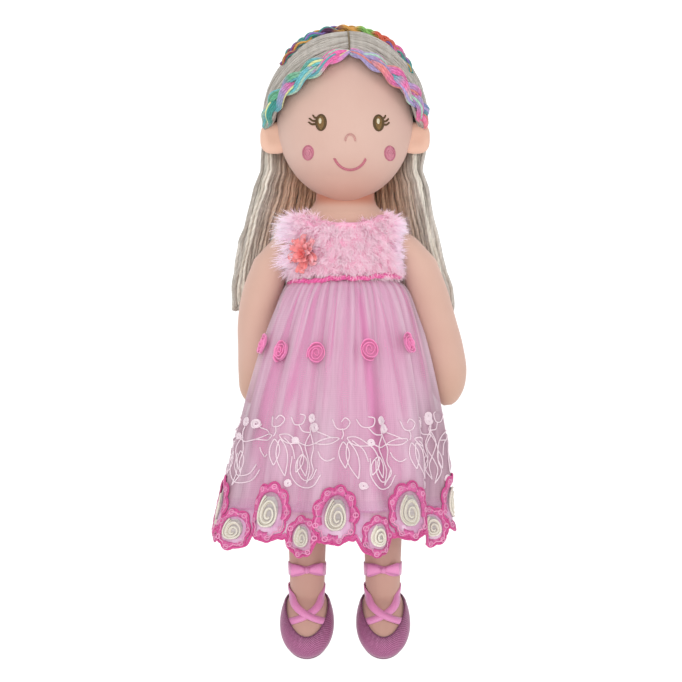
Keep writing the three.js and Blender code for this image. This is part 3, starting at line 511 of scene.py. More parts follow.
def fall_place(turn, height, proud):
    """A place in the loose hair: turn 0 beside the doll's left ear, pi beside its right."""
    down = np.clip((CAP_LOW - height) / 32.5, 0, 1)
    beside = np.interp(-height, [-40, 0, 22], [17.0, 22.5, 24.5])
    front = HAIR_PLANE + (beside - HAIR_PLANE) * down
    behind = 49 + (39 - 49) * down + np.clip(-height, 0, 22) * 0.9
    x = (hair_reach(height, np.cos(turn)) - 11 + proud) * np.cos(turn)
    return np.stack([x, front + (behind - front + proud) * np.sin(turn), height * np.ones_like(x)], -1)


def part_shift(rise):
    """How far the part stands to the doll's left, because its face is turned that way a little."""
    return PART_SHIFT * (1 + np.cos(rise)) / 2


def cap_wall(turn, height, side, sink):
    """A place on the wall of the cap, below its middle, for a turn round the head."""
    x = (CAP_HALF[0] - sink) * np.cos(turn) * side
    y = (CAP_HALF[1] - sink) * np.sin(turn)
    return np.stack([x, y, height], -1) + [0, CAP_CENTRE[1], 0]


def waves(count, steps, size, length, spread=0.3):
    """Two seeded sideways waves for each path, along its steps."""
    run = np.linspace(0, 1, steps)
    cycles = length * (1 + spread * rng.uniform(-1, 1, (2, count, 1)))
    start = rng.uniform(0, TURN, (2, count, 1))
    return size * np.sin(TURN * cycles * run + start)


def laid_yarns(side, count=76, over=26, wall=12, loose=30):
    """Whole yarns from the part to the tips: over the dome, down the wall, then loose. The front rim is thicker."""
    deep = np.concatenate([np.zeros(count), np.repeat([2.4, 4.8], 5)])[:, None]
    share = (np.concatenate([np.arange(count), np.tile(np.arange(5), 2)]) + 0.5) / count + 0.012 * deep[:, 0]
    count = len(share)
    share_jitter = share + rng.uniform(-0.005, 0.005, count)
    rise = PART_FROM + (PART_TO - PART_FROM) * share_jitter
    start = np.stack([np.full(count, 0.012), -np.cos(rise), np.sin(rise)], -1)
    turn = FRONT_TURN + (math.radians(89.5) - FRONT_TURN) * share_jitter ** 0.9
    end = np.stack([np.cos(turn), np.sin(turn), np.zeros(count)], -1)
    angle = np.arccos(np.clip((start * end).sum(-1), -1, 1))[:, None]
    t = np.linspace(0, 1, over)[None, :]
    mixed = (np.sin((1 - t) * angle)[..., None] * start[:, None] + np.sin(t * angle)[..., None] * end[:, None])
    mixed /= np.sin(angle)[..., None]
    sink = YARN_RADIUS + deep + rng.uniform(-0.4, 0.5, (count, 1)) + 0.35 * waves(count, over, 1.0, 3)[0]
    dome = mixed * (CAP_HALF - sink[..., None]) * [side, 1, 1] + CAP_CENTRE
    dome[..., 0] += part_shift(rise)[:, None] * (1 - t) ** 2
    down = np.linspace(0, 1, wall + 1)[1:]
    height = CAP_CENTRE[2] + (CAP_LOW + 1.5 - CAP_CENTRE[2]) * down[None, :] * np.ones((count, 1))
    target = SIDE_TURN + (math.radians(90) - SIDE_TURN) * share[:, None] ** 1.1
    wall_turn = turn[:, None] + (target - turn[:, None]) * eased((CAP_CENTRE[2] - height) / 12)
    grow = eased((CAP_CENTRE[2] - height) / 50)
    wall_points = cap_wall(wall_turn, height, side, YARN_RADIUS + deep)
    wall_points[..., 0] *= hair_reach(height, side) / CAP_HALF[0]
    wall_points = wall_points + (0.7 * grow)[..., None] * np.stack(
        [*waves(count, wall, 1.0, 0.9), np.zeros((count, wall))], -1)
    at_cap = np.arctan2((wall_points[:, -1, 1] - HAIR_PLANE) / 57.5, wall_points[:, -1, 0] / 65.5)
    drop = np.linspace(0, 1, loose + 1)[None, 1:]
    tip = CAP_LOW - FALL_LENGTH + rng.uniform(-2, 7, (count, 1))
    low = (CAP_LOW + 1.5) + (tip - CAP_LOW - 1.5) * drop
    layer = rng.uniform(2, 9.5, (count, 1))
    sway = waves(count, loose, 0.7, 2.2) * eased(drop * 2.5)
    free = fall_place(at_cap[:, None] + 0.02 * sway[0], low, layer + sway[1])
    gone = wall_points[:, -1:] - free[:, :1]
    free = free + gone * (1 - eased(drop[..., None] * 2.2))
    return np.concatenate([dome, wall_points], 1), np.concatenate([wall_points[:, -2:], free], 1)


# %% Tint the yarns
# Painted light: the under layers are tinted lighter to lift the shade under the cap, and warmer and browner deep
# inside, for the warm light bounced between the yarns.
UNDER_PAINTED_LIGHT, DEEP_PAINTED_WARM_LIGHT = np.array([1.28, 1.28, 1.24]), np.array([1.58, 1.07, 0.79])


def yarn_tints(count, steps):
    """Each yarn has its own shade between three, and is lighter and darker in bands along its length."""
    shade = rng.uniform(0, 1, (count, 1)) + 0.3 * waves(count, steps, 1.0, 4)[0]
    shade = np.clip(shade, 0, 1)[..., None]
    dark, mid, light = (np.array(c) for c in (YARN_DARK, YARN_MID, YARN_LIGHT))
    low = dark + (mid - dark) * np.clip(shade * 2.6, 0, 1)
    return low + (light - low) * np.clip(shade * 2 - 1, 0, 1)


# %% Make the hair
def under_layer(side, count, proud, from_height):
    """Loose yarns under the cap in small locks, seen beside the neck, with painted light: lighter all over, and
    warmer and browner deep inside.
    """
    turn = np.linspace(0.02, math.pi / 2, count)[:, None] + rng.uniform(-0.02, 0.02, (count, 1))
    drop = np.linspace(0, 1, 34)[None, :]
    tip = CAP_LOW - FALL_LENGTH + rng.uniform(-1, 10, (count, 1))
    height = from_height + (tip - from_height) * drop
    lock = np.sin(45 * turn)
    inside = (eased((turn - 0.15) / 0.9) * eased((height - 5) / 35))[..., None]
    tints = yarn_tints(count, 34) * (1 + 0.15 * lock[..., None]) * (UNDER_PAINTED_LIGHT + (DEEP_PAINTED_WARM_LIGHT - UNDER_PAINTED_LIGHT) * inside)
    sway = waves(count, 34, 0.8, 2.2) * eased(drop * 2)
    turn = turn + 0.02 * sway[0]
    proud = proud + sway[1] - 1.2 * lock
    points = fall_place(turn if side > 0 else math.pi - turn, np.minimum(height, CAP_LOW), proud)
    points[..., 0] *= 1 - 0.07 * eased((height - 76) / 14)
    points[..., 2] = height
    return points, 1.4, np.clip(tints, 0, 1)


def lay_cap(side):
    """The laid yarn of one side as a piece. Gives back the loose ends and their tints."""
    laid, loose = laid_yarns(side)
    steps = laid.shape[1]
    tints = yarn_tints(len(laid), steps + loose.shape[1] - 2)
    # Painted shade: the yarn over the top of the head is tinted darker than down the wall, to tone down the light
    # that falls most on the top.
    painted_top_shade = 0.86 + 0.14 * eased((CAP_CENTRE[2] - laid[..., 2:]) / 30)
    cap = thread_piece(f"cap_yarn_{SIDES[side]}", laid, YARN_RADIUS, acrylic_yarn, tints[:, :steps] * painted_top_shade)
    sew_on(cap, "head", "ash_yarn", f"hair_cap_{SIDES[side]}")
    # Painted light: the loose yarn is tinted up to a tenth lighter below the cap, to lift the shade between the loose
    # yarns.
    loose_painted_light = 1 + 0.1 * eased(np.arange(loose.shape[1]) / 12)[:, None]
    return loose, np.clip(tints[:, steps - 2:] * loose_painted_light, 0, 1)


SIDE_SHARE = 0.34
swell = np.interp(np.linspace(0, 1, 32), [0, 0.3, 0.95, 1], [YARN_RADIUS, LOOSE_RADIUS, LOOSE_RADIUS, 1.0])
loose_yarns = [(paths, swell, tints) for paths, tints in map(lay_cap, (1, -1))]
for side in (1, -1):
    loose_yarns += [under_layer(side, 40, 5.0, 112.0), under_layer(side, 44, 2.5, 116.0)]


def hang_hair(name, node, low_turn, high_turn):
    """One part of the loose hair, with every yarn that hangs between two turns round the head."""
    parts = []
    for paths, radius, tints in loose_yarns:
        turn = np.arctan2((paths[:, 6, 1] - HAIR_PLANE) / 50, paths[:, 6, 0] / 60)
        chosen = (turn >= low_turn) & (turn < high_turn)
        parts.append((*threads(paths[chosen], radius), np.repeat(tints[chosen].reshape(-1, 3), 6, axis=0)))
    hair = joined_piece(name, parts, acrylic_yarn)
    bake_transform(hair)
    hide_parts(node)
    print(name, len(hair.data.polygons), "faces")


hang_hair("loose_hair_left", "hair_fall_left", -1.0, SIDE_SHARE * math.pi)
hang_hair("loose_hair_back", "hair_fall_back", SIDE_SHARE * math.pi, (1 - SIDE_SHARE) * math.pi)
hang_hair("loose_hair_right", "hair_fall_right", (1 - SIDE_SHARE) * math.pi, 4.2)

# %% [markdown]
# ## Part stitches
# One line of slanting stitches in matt thread holds all the yarn down along the part. Short thread loops
# stand across it, each a little proud of the yarn.

# %% Stitch the part
PART_STITCHES = 46
along_part = PART_FROM + (PART_TO - PART_FROM) * (np.arange(PART_STITCHES) + 0.5) / PART_STITCHES
across = np.linspace(-1, 1, 7)
stitch_rise = along_part[:, None] + 0.018 * across
stitch_x = 0.8 * across + part_shift(along_part)[:, None]
stitch_lift = 0.9 * (1 - across ** 2) - 1.1
part_half = CAP_HALF[None, None, :] + stitch_lift[None, :, None]
stitch_y = -part_half[..., 1] * np.cos(stitch_rise) + CAP_CENTRE[1]
stitch_z = part_half[..., 2] * np.sin(stitch_rise) + CAP_CENTRE[2]
matt_thread = thread_material("matt_cotton_thread", 0.8, 2, 2.5, 0.3, relief=0.08)
seam = thread_piece("part_stitches", np.stack([stitch_x, stitch_y, stitch_z], -1), 0.45, matt_thread,
                    linear("#99886f"))
sew_on(seam, "head", "parting_thread", "parting_seam")

# %% [markdown]
# ## Braids
# Three thin braids of yarn dyed in many colours are sewn over the hair: one along each side of the forehead
# and one over the crown. In a braid each strand swings from side to side and goes under, then over, once each
# way. A sine sideways and a sine of twice the speed up and down, a third of a turn apart, plait the three
# strands. Each strand is a bundle of yarns of its own, and its colour changes along its length.

# %% Plait the braids
dyed_yarn = thread_material("dyed_yarn", 0.7, 2, 9.0, 0.22, sheen=0.2, relief=0.15)


def resample(path, count):
    """The same path with points at even distances."""
    run = run_along(path)
    even = np.linspace(0, run[-1], count)
    return np.stack([np.interp(even, run, path[:, i]) for i in range(3)], -1), even


def blended_colours(keys, share):
    """The colour at each share along a strand, through (share, hex) keys."""
    places = [k for k, _ in keys]
    colours = np.array([linear(h) for _, h in keys])
    return np.stack([np.interp(share, places, colours[:, i]) for i in range(3)], -1)


def plait(name, node, path, swing, pitch, strands, accents, fat, steps=160, yarns=9):
    """A braid along a path on the head. swing is its half width along the path, fat a strand's half width."""
    path, run = resample(path, steps)
    along = unit(np.gradient(path, axis=0))
    out = unit((path - CAP_CENTRE) / CAP_HALF ** 2)
    out = unit(out - (out * along).sum(-1, keepdims=True) * along)
    aside = np.cross(along, out)
    share = run / run[-1]
    taper = np.interp(share, [0, 0.08, 0.3, 0.85, 1], swing)[:, None]
    paths, tints = [], []
    for k, keys in enumerate(strands):
        phase = (TURN * (run / pitch + k / 3))[:, None]
        centre = path + taper * (aside * np.sin(phase) + 0.72 * out * np.sin(2 * phase))
        colours = blended_colours(keys, share)
        bundle = fat * taper / max(swing)
        for j in range(yarns):
            spin = (TURN * j / (yarns - 1) + run / 22)[:, None]
            reach = 0.0 if j == yarns - 1 else 0.72
            paths.append(centre + reach * bundle * (1.25 * aside * np.cos(spin) + 0.85 * out * np.sin(spin)))
            hue = np.array(linear(accents[(j + k) % len(accents)])) if j % 4 == 1 else colours
            tints.append(np.broadcast_to(hue, colours.shape) * rng.uniform(0.8, 1.12))
    girth = 0.36 * fat * (taper[:, 0] / max(swing)) ** 0.7
    braid = thread_piece(name, np.array(paths), np.broadcast_to(girth, (len(paths), steps)), dyed_yarn,
                         np.clip(np.array(tints), 0, 1))
    sew_on(braid, "head", "dyed_yarn", node)
    print(name, round(run[-1]), "mm long")


def hairline(side):
    """The path of a front braid, from the apex on the forehead to the top of the ear."""
    keys = [(0.4, 175.5), (14, 169), (28, 160.5), (40.5, 151.5), (50.5, 142), (58, 133), (62, 126.5), (63.7, 122)]
    x, z = smooth_rows([k[0] for k in keys], keys, 60).T
    inside = 1 - (x / CAP_HALF[0]) ** 2 - ((z - CAP_CENTRE[2]) / CAP_HALF[2]) ** 2
    y = -CAP_HALF[1] * np.sqrt(np.maximum(inside, 0.03)) + CAP_CENTRE[1]
    place = np.stack([x, y, z], -1)
    lift = np.interp(np.arange(60), [0, 10, 48, 59], [1.2, 2.2, 2.2, -1.0])[:, None]
    place += unit((place - CAP_CENTRE) / CAP_HALF ** 2) * lift
    return place * [side, 1, 1] + 3.4 * (1 - (x / 64) ** 2)[:, None] * [1, 0, 0]


PINK, AQUA, MINT, LILAC = "#ea6fae", "#68b9c2", "#aed2bd", "#ab9dcc"
TEAL, GREEN, LEMON, CORAL, VIOLET = "#3f9f95", "#68b38c", "#dfe3a0", "#ec8f8a", "#8b6fc0"
STEEL = "#93b3ad"
FRONT_SWING = [1.2, 2.4, 3.7, 3.7, 1.9]
plait("front_braid_plait_right", "front_braid_right", hairline(-1), FRONT_SWING, 62, [
    [(0, PINK), (0.28, PINK), (0.36, AQUA), (0.55, AQUA), (0.62, GREEN), (0.9, GREEN), (1, STEEL)],
    [(0, PINK), (0.22, PINK), (0.3, MINT), (0.5, GREEN), (0.58, LILAC), (0.68, TEAL), (0.9, TEAL), (1, STEEL)],
    [(0, LILAC), (0.15, PINK), (0.26, AQUA), (0.42, GREEN), (0.52, PINK), (0.62, LILAC), (0.75, AQUA), (1, STEEL)],
], [LEMON, MINT, AQUA], fat=3.1)
plait("front_braid_plait_left", "front_braid_left", hairline(1), FRONT_SWING, 62, [
    [(0, LILAC), (0.3, LILAC), (0.4, PINK), (0.62, PINK), (0.7, LILAC), (0.8, PINK), (1, CORAL)],
    [(0, LILAC), (0.2, LILAC), (0.3, PINK), (0.42, AQUA), (0.52, PINK), (0.66, MINT), (0.75, VIOLET), (0.87, TEAL),
     (1, TEAL)],
    [(0, PINK), (0.1, LILAC), (0.3, CORAL), (0.45, PINK), (0.55, LILAC), (0.68, PINK), (0.85, PINK), (1, CORAL)],
], [LILAC, CORAL, MINT], fat=3.1)
crown_angle = np.radians(np.linspace(141, 32, 80))
crown_ahead = 28 * np.cos(crown_angle) ** 2
crown_out = np.sqrt(1 - (crown_ahead / CAP_HALF[1]) ** 2) * (1.02 - 0.0015 * crown_ahead)
crown_path = CAP_CENTRE + np.stack([CAP_HALF[0] * crown_out * np.cos(crown_angle), -crown_ahead,
                                    CAP_HALF[2] * crown_out * np.sin(crown_angle)], -1)
MAROON, GRAPE, AMBER, LEAF, FLAME = "#a33a58", "#5f2f5c", "#d9a04a", "#86bf5c", "#de6040"
CROWN_DYES = [(0.0, MAROON), (0.1, MAROON), (0.17, TEAL), (0.26, TEAL), (0.31, GRAPE), (0.4, GRAPE), (0.45, AMBER),
              (0.53, AMBER), (0.57, LEAF), (0.64, LEAF), (0.68, FLAME), (0.77, FLAME), (0.81, PINK), (0.86, PINK),
              (0.91, TEAL), (1.0, TEAL)]
plait("crown_braid_plait", "crown_braid", crown_path, [1.7, 2.6, 2.8, 2.6, 1.7], 42,
      [[(at + shift, dye) for at, dye in CROWN_DYES] for shift in (-0.02, 0.0, 0.02)],
      [VIOLET, AMBER, TEAL], fat=2.5, yarns=7)

# %% [markdown]
# ## Embroidered face
# The face is machine embroidery in rayon thread: rows of satin stitches lie side by side and shine as one
# surface. Short arched threads, each a little proud of the cloth, are laid across the shape they fill.

# %% Stitch the face
THREAD = 0.28


def stitches(ends_a, ends_b, lift=0.5, steps=6):
    """Arched stitches on the face between two rows of (x, z) ends."""
    t = np.linspace(0, 1, steps)[None, :, None]
    flat = np.asarray(ends_a)[:, None] * (1 - t) + np.asarray(ends_b)[:, None] * t
    arch = lift * np.sin(math.pi * t[..., 0]) - 0.1
    place = on_face(flat[..., 0], flat[..., 1])
    return place + unit(place - HEAD_CENTRE) * arch[..., None]


def satin_line(points, width, pitch=0.36, lean=0.5):
    """Stitches set across a drawn line of (x, z) points, as wide as width at each point."""
    points = np.asarray(points, float)
    run = run_along(points)
    at = np.arange(0, run[-1], pitch)
    middle = np.stack([np.interp(at, run, points[:, i]) for i in range(2)], -1)
    aim = unit(np.gradient(middle, axis=0))
    half = np.interp(at, run, np.broadcast_to(width, len(points)))[:, None] / 2
    side = np.stack([-aim[:, 1], aim[:, 0]], -1) * half + aim * half * lean
    return stitches(middle - side, middle + side)


def satin_oval(centre, half, pitch=0.36, lift=0.5):
    """Level stitches that fill an oval."""
    at = np.arange(-half[1] + pitch / 2, half[1], pitch)
    reach = half[0] * np.sqrt(1 - (at / half[1]) ** 2)
    ends = [np.stack([sign * reach, at], -1) + centre for sign in (-1, 1)]
    return stitches(*ends, lift)


def ring_points(centre, half, start=0.0, end=360.0, count=60):
    """Flat points along an oval, between two angles in degrees."""
    turn = np.radians(np.linspace(start, end, count))
    return np.stack([centre[0] + half[0] * np.cos(turn), centre[1] + half[1] * np.sin(turn)], -1)


def embroider(name, node, parts):
    """One embroidered piece from (stitches, hex) parts."""
    made = []
    for paths, colour in parts:
        shade = np.repeat(rng.uniform(0.85, 1.05, len(paths)), paths.shape[1] * 5)[:, None]
        made.append((*threads(paths, THREAD, sides=5), np.array(linear(colour)) * shade))
    slot = "rose_thread" if "eye" not in node else "brown_thread"
    sew_on(joined_piece(name, made, rayon_thread), "head", slot, node)


BROWN, GOLD, CREAM = "#5f451c", "#8f6c38", "#f4e9cc"
FACE_SHIFT = 3.9
for side, label in SIDES.items():
    eye = np.array([side * 22.2 + FACE_SHIFT - 0.3, 120.7])
    lashes = [
        ((3.3, 3.6), (5.0, 4.2), (6.3, 6.0)),
        ((3.9, 1.4), (6.6, 1.7), (9.0, 3.6)),
        ((4.0, -0.9), (7.0, -1.0), (9.6, 0.8)),
    ]
    parts = [
        (satin_oval(eye, (3.2, 5.2)), GOLD),
        (satin_line(ring_points(eye, (3.35, 5.35)), 2.1), BROWN),
        (satin_oval(eye + (-0.5, 1.3), (1.4, 2.0), lift=1.1), CREAM),
    ]
    for lash in lashes:
        line = smooth_rows([0, 1, 2], lash, 12) * [0.87 if side > 0 else -1, 1] + eye
        parts.append((satin_line(line, np.linspace(1.6, 1.0, 12), lean=0.7), BROWN))
    embroider(f"eye_stitches_{label}", f"eye_{label}", parts)
    cheek = np.array([side * 31.8 + FACE_SHIFT * 0.78, 98.4])
    swirl = np.linspace(0, 1, 50)
    swirl_turn = swirl * TURN * 1.6
    swirl_line = np.stack([2.6 * (1 - 0.75 * swirl) * np.cos(swirl_turn),
                           3.6 * (1 - 0.75 * swirl) * np.sin(swirl_turn)], -1) + cheek
    embroider(f"cheek_stitches_{label}", f"cheek_{label}", [
        (satin_oval(cheek, (3.8, 4.9)), "#df8fa2"),
        (satin_line(ring_points(cheek, (3.9, 5.0)), 1.2), "#d07a90"),
        (satin_line(swirl_line, 0.8), "#cf7289"),
    ])
nose_line = ring_points((FACE_SHIFT, 106.7), (3.8, 4.7), 0, 180, 30)
embroider("nose_stitches", "nose", [(satin_line(nose_line, 1.3), "#dba49c")])
mouth_line = ring_points((FACE_SHIFT, 98.8), (13.1, 13.8), 203, 337, 50)
mouth_width = np.interp(np.linspace(0, 1, 50), [0, 0.5, 1], [1.7, 1.8, 1.7])
embroider("mouth_stitches", "mouth", [(satin_line(mouth_line, mouth_width), "#d07888")])
print("face embroidered")

# %% [markdown]
# ## Body and neck
# The body is a flattened sack of the same tricot, and the neck a short stuffed tube pushed into it and into
# the head. Nearly all of the body is under the dress. The neck bends when the head nods.

# %% Make the body and the neck
TORSO_HALF_WIDTH, TORSO_HALF_DEPTH = 44.0, 31.0
TORSO_TOP, TORSO_BOTTOM = 57.0, 93.0
RISE = [[0.9, 0.2], [0.9, 0.72], [0.85, 0.88], [0.7, 0.97], [0.42, 1], [0.03, 1.01]]
DROP = [[0.03, 1.005], [0.5, 1.0], [0.74, 0.99], [0.9, 0.93], [0.98, 0.75], [1, 0.45], [0.95, 0.15]]
body_tint = np.array([1.0, 0.92, 0.86])


def torso_profile(count=60):
    """Radius shares and heights up the body."""
    keys = [[r, -h * TORSO_BOTTOM] for r, h in DROP] + [[0.88, 0.0]] + [[r, h * TORSO_TOP] for r, h in RISE]
    keys = np.array(keys)
    run = np.concatenate([[0], np.cumsum(np.hypot(np.diff(keys[:, 0] * TORSO_HALF_WIDTH), np.diff(keys[:, 1])))])
    return smooth_rows(run, keys, count)


def ring_stack(profile, half_width, half_depth, columns):
    """Level oval rings, one for each row of the profile."""
    turn = np.arange(columns)[None, :] * TURN / columns
    share, height = profile[:, :1], profile[:, 1:]
    return np.stack([share * half_width * np.cos(turn), share * half_depth * np.sin(turn),
                     height * np.ones_like(turn)], -1)


torso = soft_form("body_sack", ring_stack(torso_profile(), TORSO_HALF_WIDTH, TORSO_HALF_DEPTH, 80), knit, body_tint)
sew_on(torso, "torso", "skin_knit", "torso_skin", "torso_stuffing")

neck_height = np.linspace(44, 78, 26)
neck_share = np.interp(neck_height, [44, 47, 50, 52, 54, 57, 60, 64, 72, 78],
                       [1.2, 1.38, 1.42, 1.41, 1.34, 1.19, 1.08, 1.0, 0.98, 1.02])[:, None]
neck_rings = ring_stack(np.concatenate([neck_share, neck_height[:, None]], 1), 23.2, 18.4, 56)
# Painted shadow: the neck is painted darker and redder towards the chin, for the shadow under it.
painted_chin_shadow = eased((neck_height - 56) / 9)[:, None, None] * np.ones((1, 56, 1))
neck = soft_form("neck_tube", neck_rings, knit, body_tint * (1 - painted_chin_shadow * [0.25, 0.58, 0.68]))
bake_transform(neck)
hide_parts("neck")
print("body and neck made")

# %% [markdown]
# ## Arms
# Each arm is a long soft sausage sewn to the shoulder, so it hangs from a short neck of cloth and is fullest
# above the hand. Rings are set along its curved middle line. The squared radius, not the radius, runs
# smoothly to zero at the end, because that gives a round hand and not a pointed one.

# %% Make the arms
ARM_LENGTH, ARM_RADIUS = 125.0, 15.8
SHOULDER_OUT, ARM_HEIGHT = 53.9, 26.0
ARM_ALONG = np.array([0, 0.145, 0.29, 0.47, 0.65, 0.8, 0.9, 0.965, 1])
ARM_GIRTH = np.array([0.886, 0.92, 0.97, 1, 1, 0.95, 0.8, 0.52, 0.03])
ARM_BACK = np.array([0, 0.01, 0.03, 0.06, 0.09, 0.105, 0.112, 0.115, 0.116])
ARM_OUT = {
    1: np.array([0, 0.05, 0.1, 0.15, 0.2, 0.225, 0.22, 0.21, 0.2]),
    -1: np.array([0, 0.05, 0.098, 0.125, 0.125, 0.13, 0.14, 0.14, 0.14]),
}


def arm_line(side, steps=56):
    """The middle line of an arm and its radius at each step."""
    keys = np.stack([side * (SHOULDER_OUT + ARM_OUT[side] * ARM_LENGTH), ARM_BACK * ARM_LENGTH,
                     ARM_HEIGHT - ARM_ALONG * ARM_LENGTH, (ARM_GIRTH * ARM_RADIUS) ** 2], -1)
    rows = smooth_rows(ARM_ALONG, keys, steps)
    return rows[:, :3], np.sqrt(np.maximum(rows[:, 3], 0.2))


def swept_rings(line, radius, columns):
    """Round rings set square along a bent line."""
    _, across, beside = (v[0] for v in thread_frames(line[None]))
    turn = np.arange(columns)[None, :, None] * TURN / columns
    ring = np.cos(turn) * across[:, None] + np.sin(turn) * beside[:, None]
    return line[:, None] + radius[:, None, None] * ring


def make_arm(side):
    """An arm, from its domed shoulder to its round hand."""
    label = SIDES[side]
    line, radius = arm_line(side)
    up = unit(line[0] - line[2])
    dome = np.radians(np.linspace(86, 8, 12))
    line = np.concatenate([line[0] + up * radius[0] * np.sin(dome)[:, None], line])
    radius = np.concatenate([radius[0] * np.cos(dome), radius])
    radius[0] = 0.8
    rings = swept_rings(line, radius, 48)
    rings[..., 0] -= side * 0.55 * np.clip(rings[..., 2] - 17, 0, 30)
    low = np.clip((-line[:, 2] - 55) / 45, 0, 1)[:, None, None] * np.ones((1, 48, 1))
    tint = body_tint ** 0.6 * (1 - low * (1 - np.array([0.93, 0.93, 0.86])))
    arm = soft_form(f"arm_{label}", rings, knit, tint)
    sew_on(arm, f"{label}_arm", "skin_knit", f"arm_skin_{label}", f"arm_stuffing_{label}")


make_arm(1)
make_arm(-1)

# %% [markdown]
# ## Legs and feet
# A leg is a straight tube, and the foot an egg that points down and forward. Where the two meet the real
# cloth is cut in one, with no sharp corner. So a tube and an egg are remeshed together as one skin and
# smoothed, which rounds the ankle.

# %% Make the legs
LEG_OUT = 29.92
HIP_HEIGHT, LEG_BOTTOM, LEG_LENGTH = -112.3, -252.3, 140.0
LEG_SHARES = [0, 0.015, 0.06, 0.24, 0.5, 0.75, 1.0]
LEG_RADII = [9.0, 12.0, 13.6, 14.5, 15.85, 17.9, 19.0]
FOOT_HALF = np.array([19.0, 34.0, 14.0])
FOOT_EGG = 0.12
FOOT_TILT = math.radians(48)
FOOT_CENTRE = np.array([0.0, -8.0, -265.3])
SOLE_PLANE = -8.4


def foot_place(points, side):
    """From the foot's own frame, toes -Y and instep +Z, to the doll's."""
    x, y, z = np.moveaxis(np.asarray(points, float), -1, 0)
    turned = np.stack([x, y * math.cos(FOOT_TILT) - z * math.sin(FOOT_TILT),
                       y * math.sin(FOOT_TILT) + z * math.cos(FOOT_TILT)], -1)
    return turned + FOOT_CENTRE + [side * LEG_OUT, 0, 0]


def foot_shell(turn, lift, grow):
    """A place on the egg of the foot, grown by the cloth of the shoe."""
    half = FOOT_HALF + grow
    x = half[0] * np.cos(lift) * np.cos(turn)
    y = half[1] * np.cos(lift) * np.sin(turn)
    z = half[2] * np.sin(lift)
    return np.stack(np.broadcast_arrays(x * (1 - FOOT_EGG * y / FOOT_HALF[1]), y, z), -1)


def remeshed(rough, voxel, rounds):
    """A rough form remeshed as one skin and smoothed: its points in metres and its faces."""
    rough.modifiers.new("skin", "REMESH").voxel_size = voxel * mm
    rounding = rough.modifiers.new("round", "SMOOTH")
    rounding.factor, rounding.iterations = 0.5, rounds
    bpy.context.view_layer.update()
    made = rough.evaluated_get(bpy.context.evaluated_depsgraph_get()).to_mesh()
    places = np.empty(len(made.vertices) * 3, np.float32)
    made.vertices.foreach_get("co", places)
    faces = [list(p.vertices) for p in made.polygons]
    bpy.data.objects.remove(rough)
    return places.reshape(-1, 3), faces


def merged_skin(name, parts, material, voxel, rounds, tint):
    """Closed forms joined as one skin, and smoothed."""
    rough = joined_piece(name + "_rough", [plain_part(rings, 1.0) for rings in parts], material)
    places, faces = remeshed(rough, voxel, rounds)
    return new_piece(name, places / mm, faces, material, np.broadcast_to(tint, places.shape))


# Painted shade: the legs are a darker, redder copy of the skin, for the shade under the skirt.
leg_painted_shade = np.array([0.88, 0.77, 0.74])


def make_leg(side):
    """A leg with a domed hip, and its foot, as one skin."""
    label = SIDES[side]
    height = LEG_BOTTOM + LEG_LENGTH * np.linspace(0, 1, 40)
    radius = np.interp(height, LEG_BOTTOM + LEG_LENGTH * np.array(LEG_SHARES), LEG_RADII)
    dome = np.radians(np.linspace(6, 87, 12))
    height = np.concatenate([height, HIP_HEIGHT + 19.0 * np.sin(dome)])
    radius = np.concatenate([radius, 19.0 * np.cos(dome)])
    turn = np.arange(48)[None, :] * TURN / 48
    tube = np.stack([radius[:, None] * np.cos(turn) + side * LEG_OUT, radius[:, None] * np.sin(turn),
                     height[:, None] * np.ones_like(turn)], -1)
    lift = np.linspace(-math.pi / 2 + POLE, math.pi / 2 - POLE, 32)[:, None]
    egg = foot_shell(turn, lift, 0.0)
    egg[..., 2] = np.maximum(egg[..., 2], SOLE_PLANE + 0.3)
    leg = merged_skin(f"leg_{label}", [tube, foot_place(egg, side)], knit, 1.8, 8, leg_painted_shade)
    sew_on(leg, f"{label}_leg", "skin_knit", f"leg_skin_{label}", f"leg_stuffing_{label}")
    print(leg.name, len(leg.data.vertices), "points")
    return leg


legs = {side: make_leg(side) for side in (1, -1)}

# %% [markdown]
# ## Slippers
# The slippers are cut from a plum dress fabric with a bright metallic thread in its twill, so light catches
# fine slanting lines. The upper is gathered round a U shaped opening and sewn to a flat cloth sole. Its
# surface runs from the edge of the opening down to the sole, thick enough to show a turned edge.

# %% Make the slipper cloth
TWILL = 1.5  # the real lines are 0.7 mm apart, drawn coarser so that they show


def twill_material():
    """Slanting bright lines of metallic thread, broken up a little, on matt plum cloth."""
    material, tree, shader = new_material("metallic_twill", Roughness=0.5, Sheen_Weight=0.2)
    place = add_node(tree, "UVMap")
    parts = add_node(tree, "SeparateXYZ", {0: place.outputs["UV"]})
    slant = add_node(tree, "Math", {0: parts.outputs["X"], 1: parts.outputs["Y"]}, operation="ADD")
    phase = add_node(tree, "Math", {0: slant.outputs[0], 1: TURN / TWILL}, operation="MULTIPLY")
    line = add_node(tree, "Math", {0: phase.outputs[0]}, operation="SINE")
    step = add_node(tree, "TexNoise", {
        "Vector": place.outputs["UV"], "Scale": 1.4, "Detail": 2.0, "Roughness": 0.7})
    mixed = add_node(tree, "Math", {0: line.outputs[0], 1: 0.28, 2: step.outputs["Fac"]},
                     operation="MULTIPLY_ADD")
    bright = add_node(tree, "MapRange", {
        "Value": mixed.outputs[0], "From Min": 0.42, "From Max": 0.78, "To Min": 0.0, "To Max": 1.0})
    dye_cloth(tree, shader, bright.outputs["Result"], "#813a66", "#c17aa2")
    metal = add_node(tree, "Math", {0: bright.outputs["Result"], 1: 0.5}, operation="MULTIPLY")
    tree.links.new(metal.outputs[0], shader.inputs["Metallic"])
    bump = add_node(tree, "Bump", {"Height": mixed.outputs[0], "Strength": 0.4, "Distance": 0.2 * mm})
    tree.links.new(bump.outputs["Normal"], shader.inputs["Normal"])
    return material


metallic_twill = twill_material()

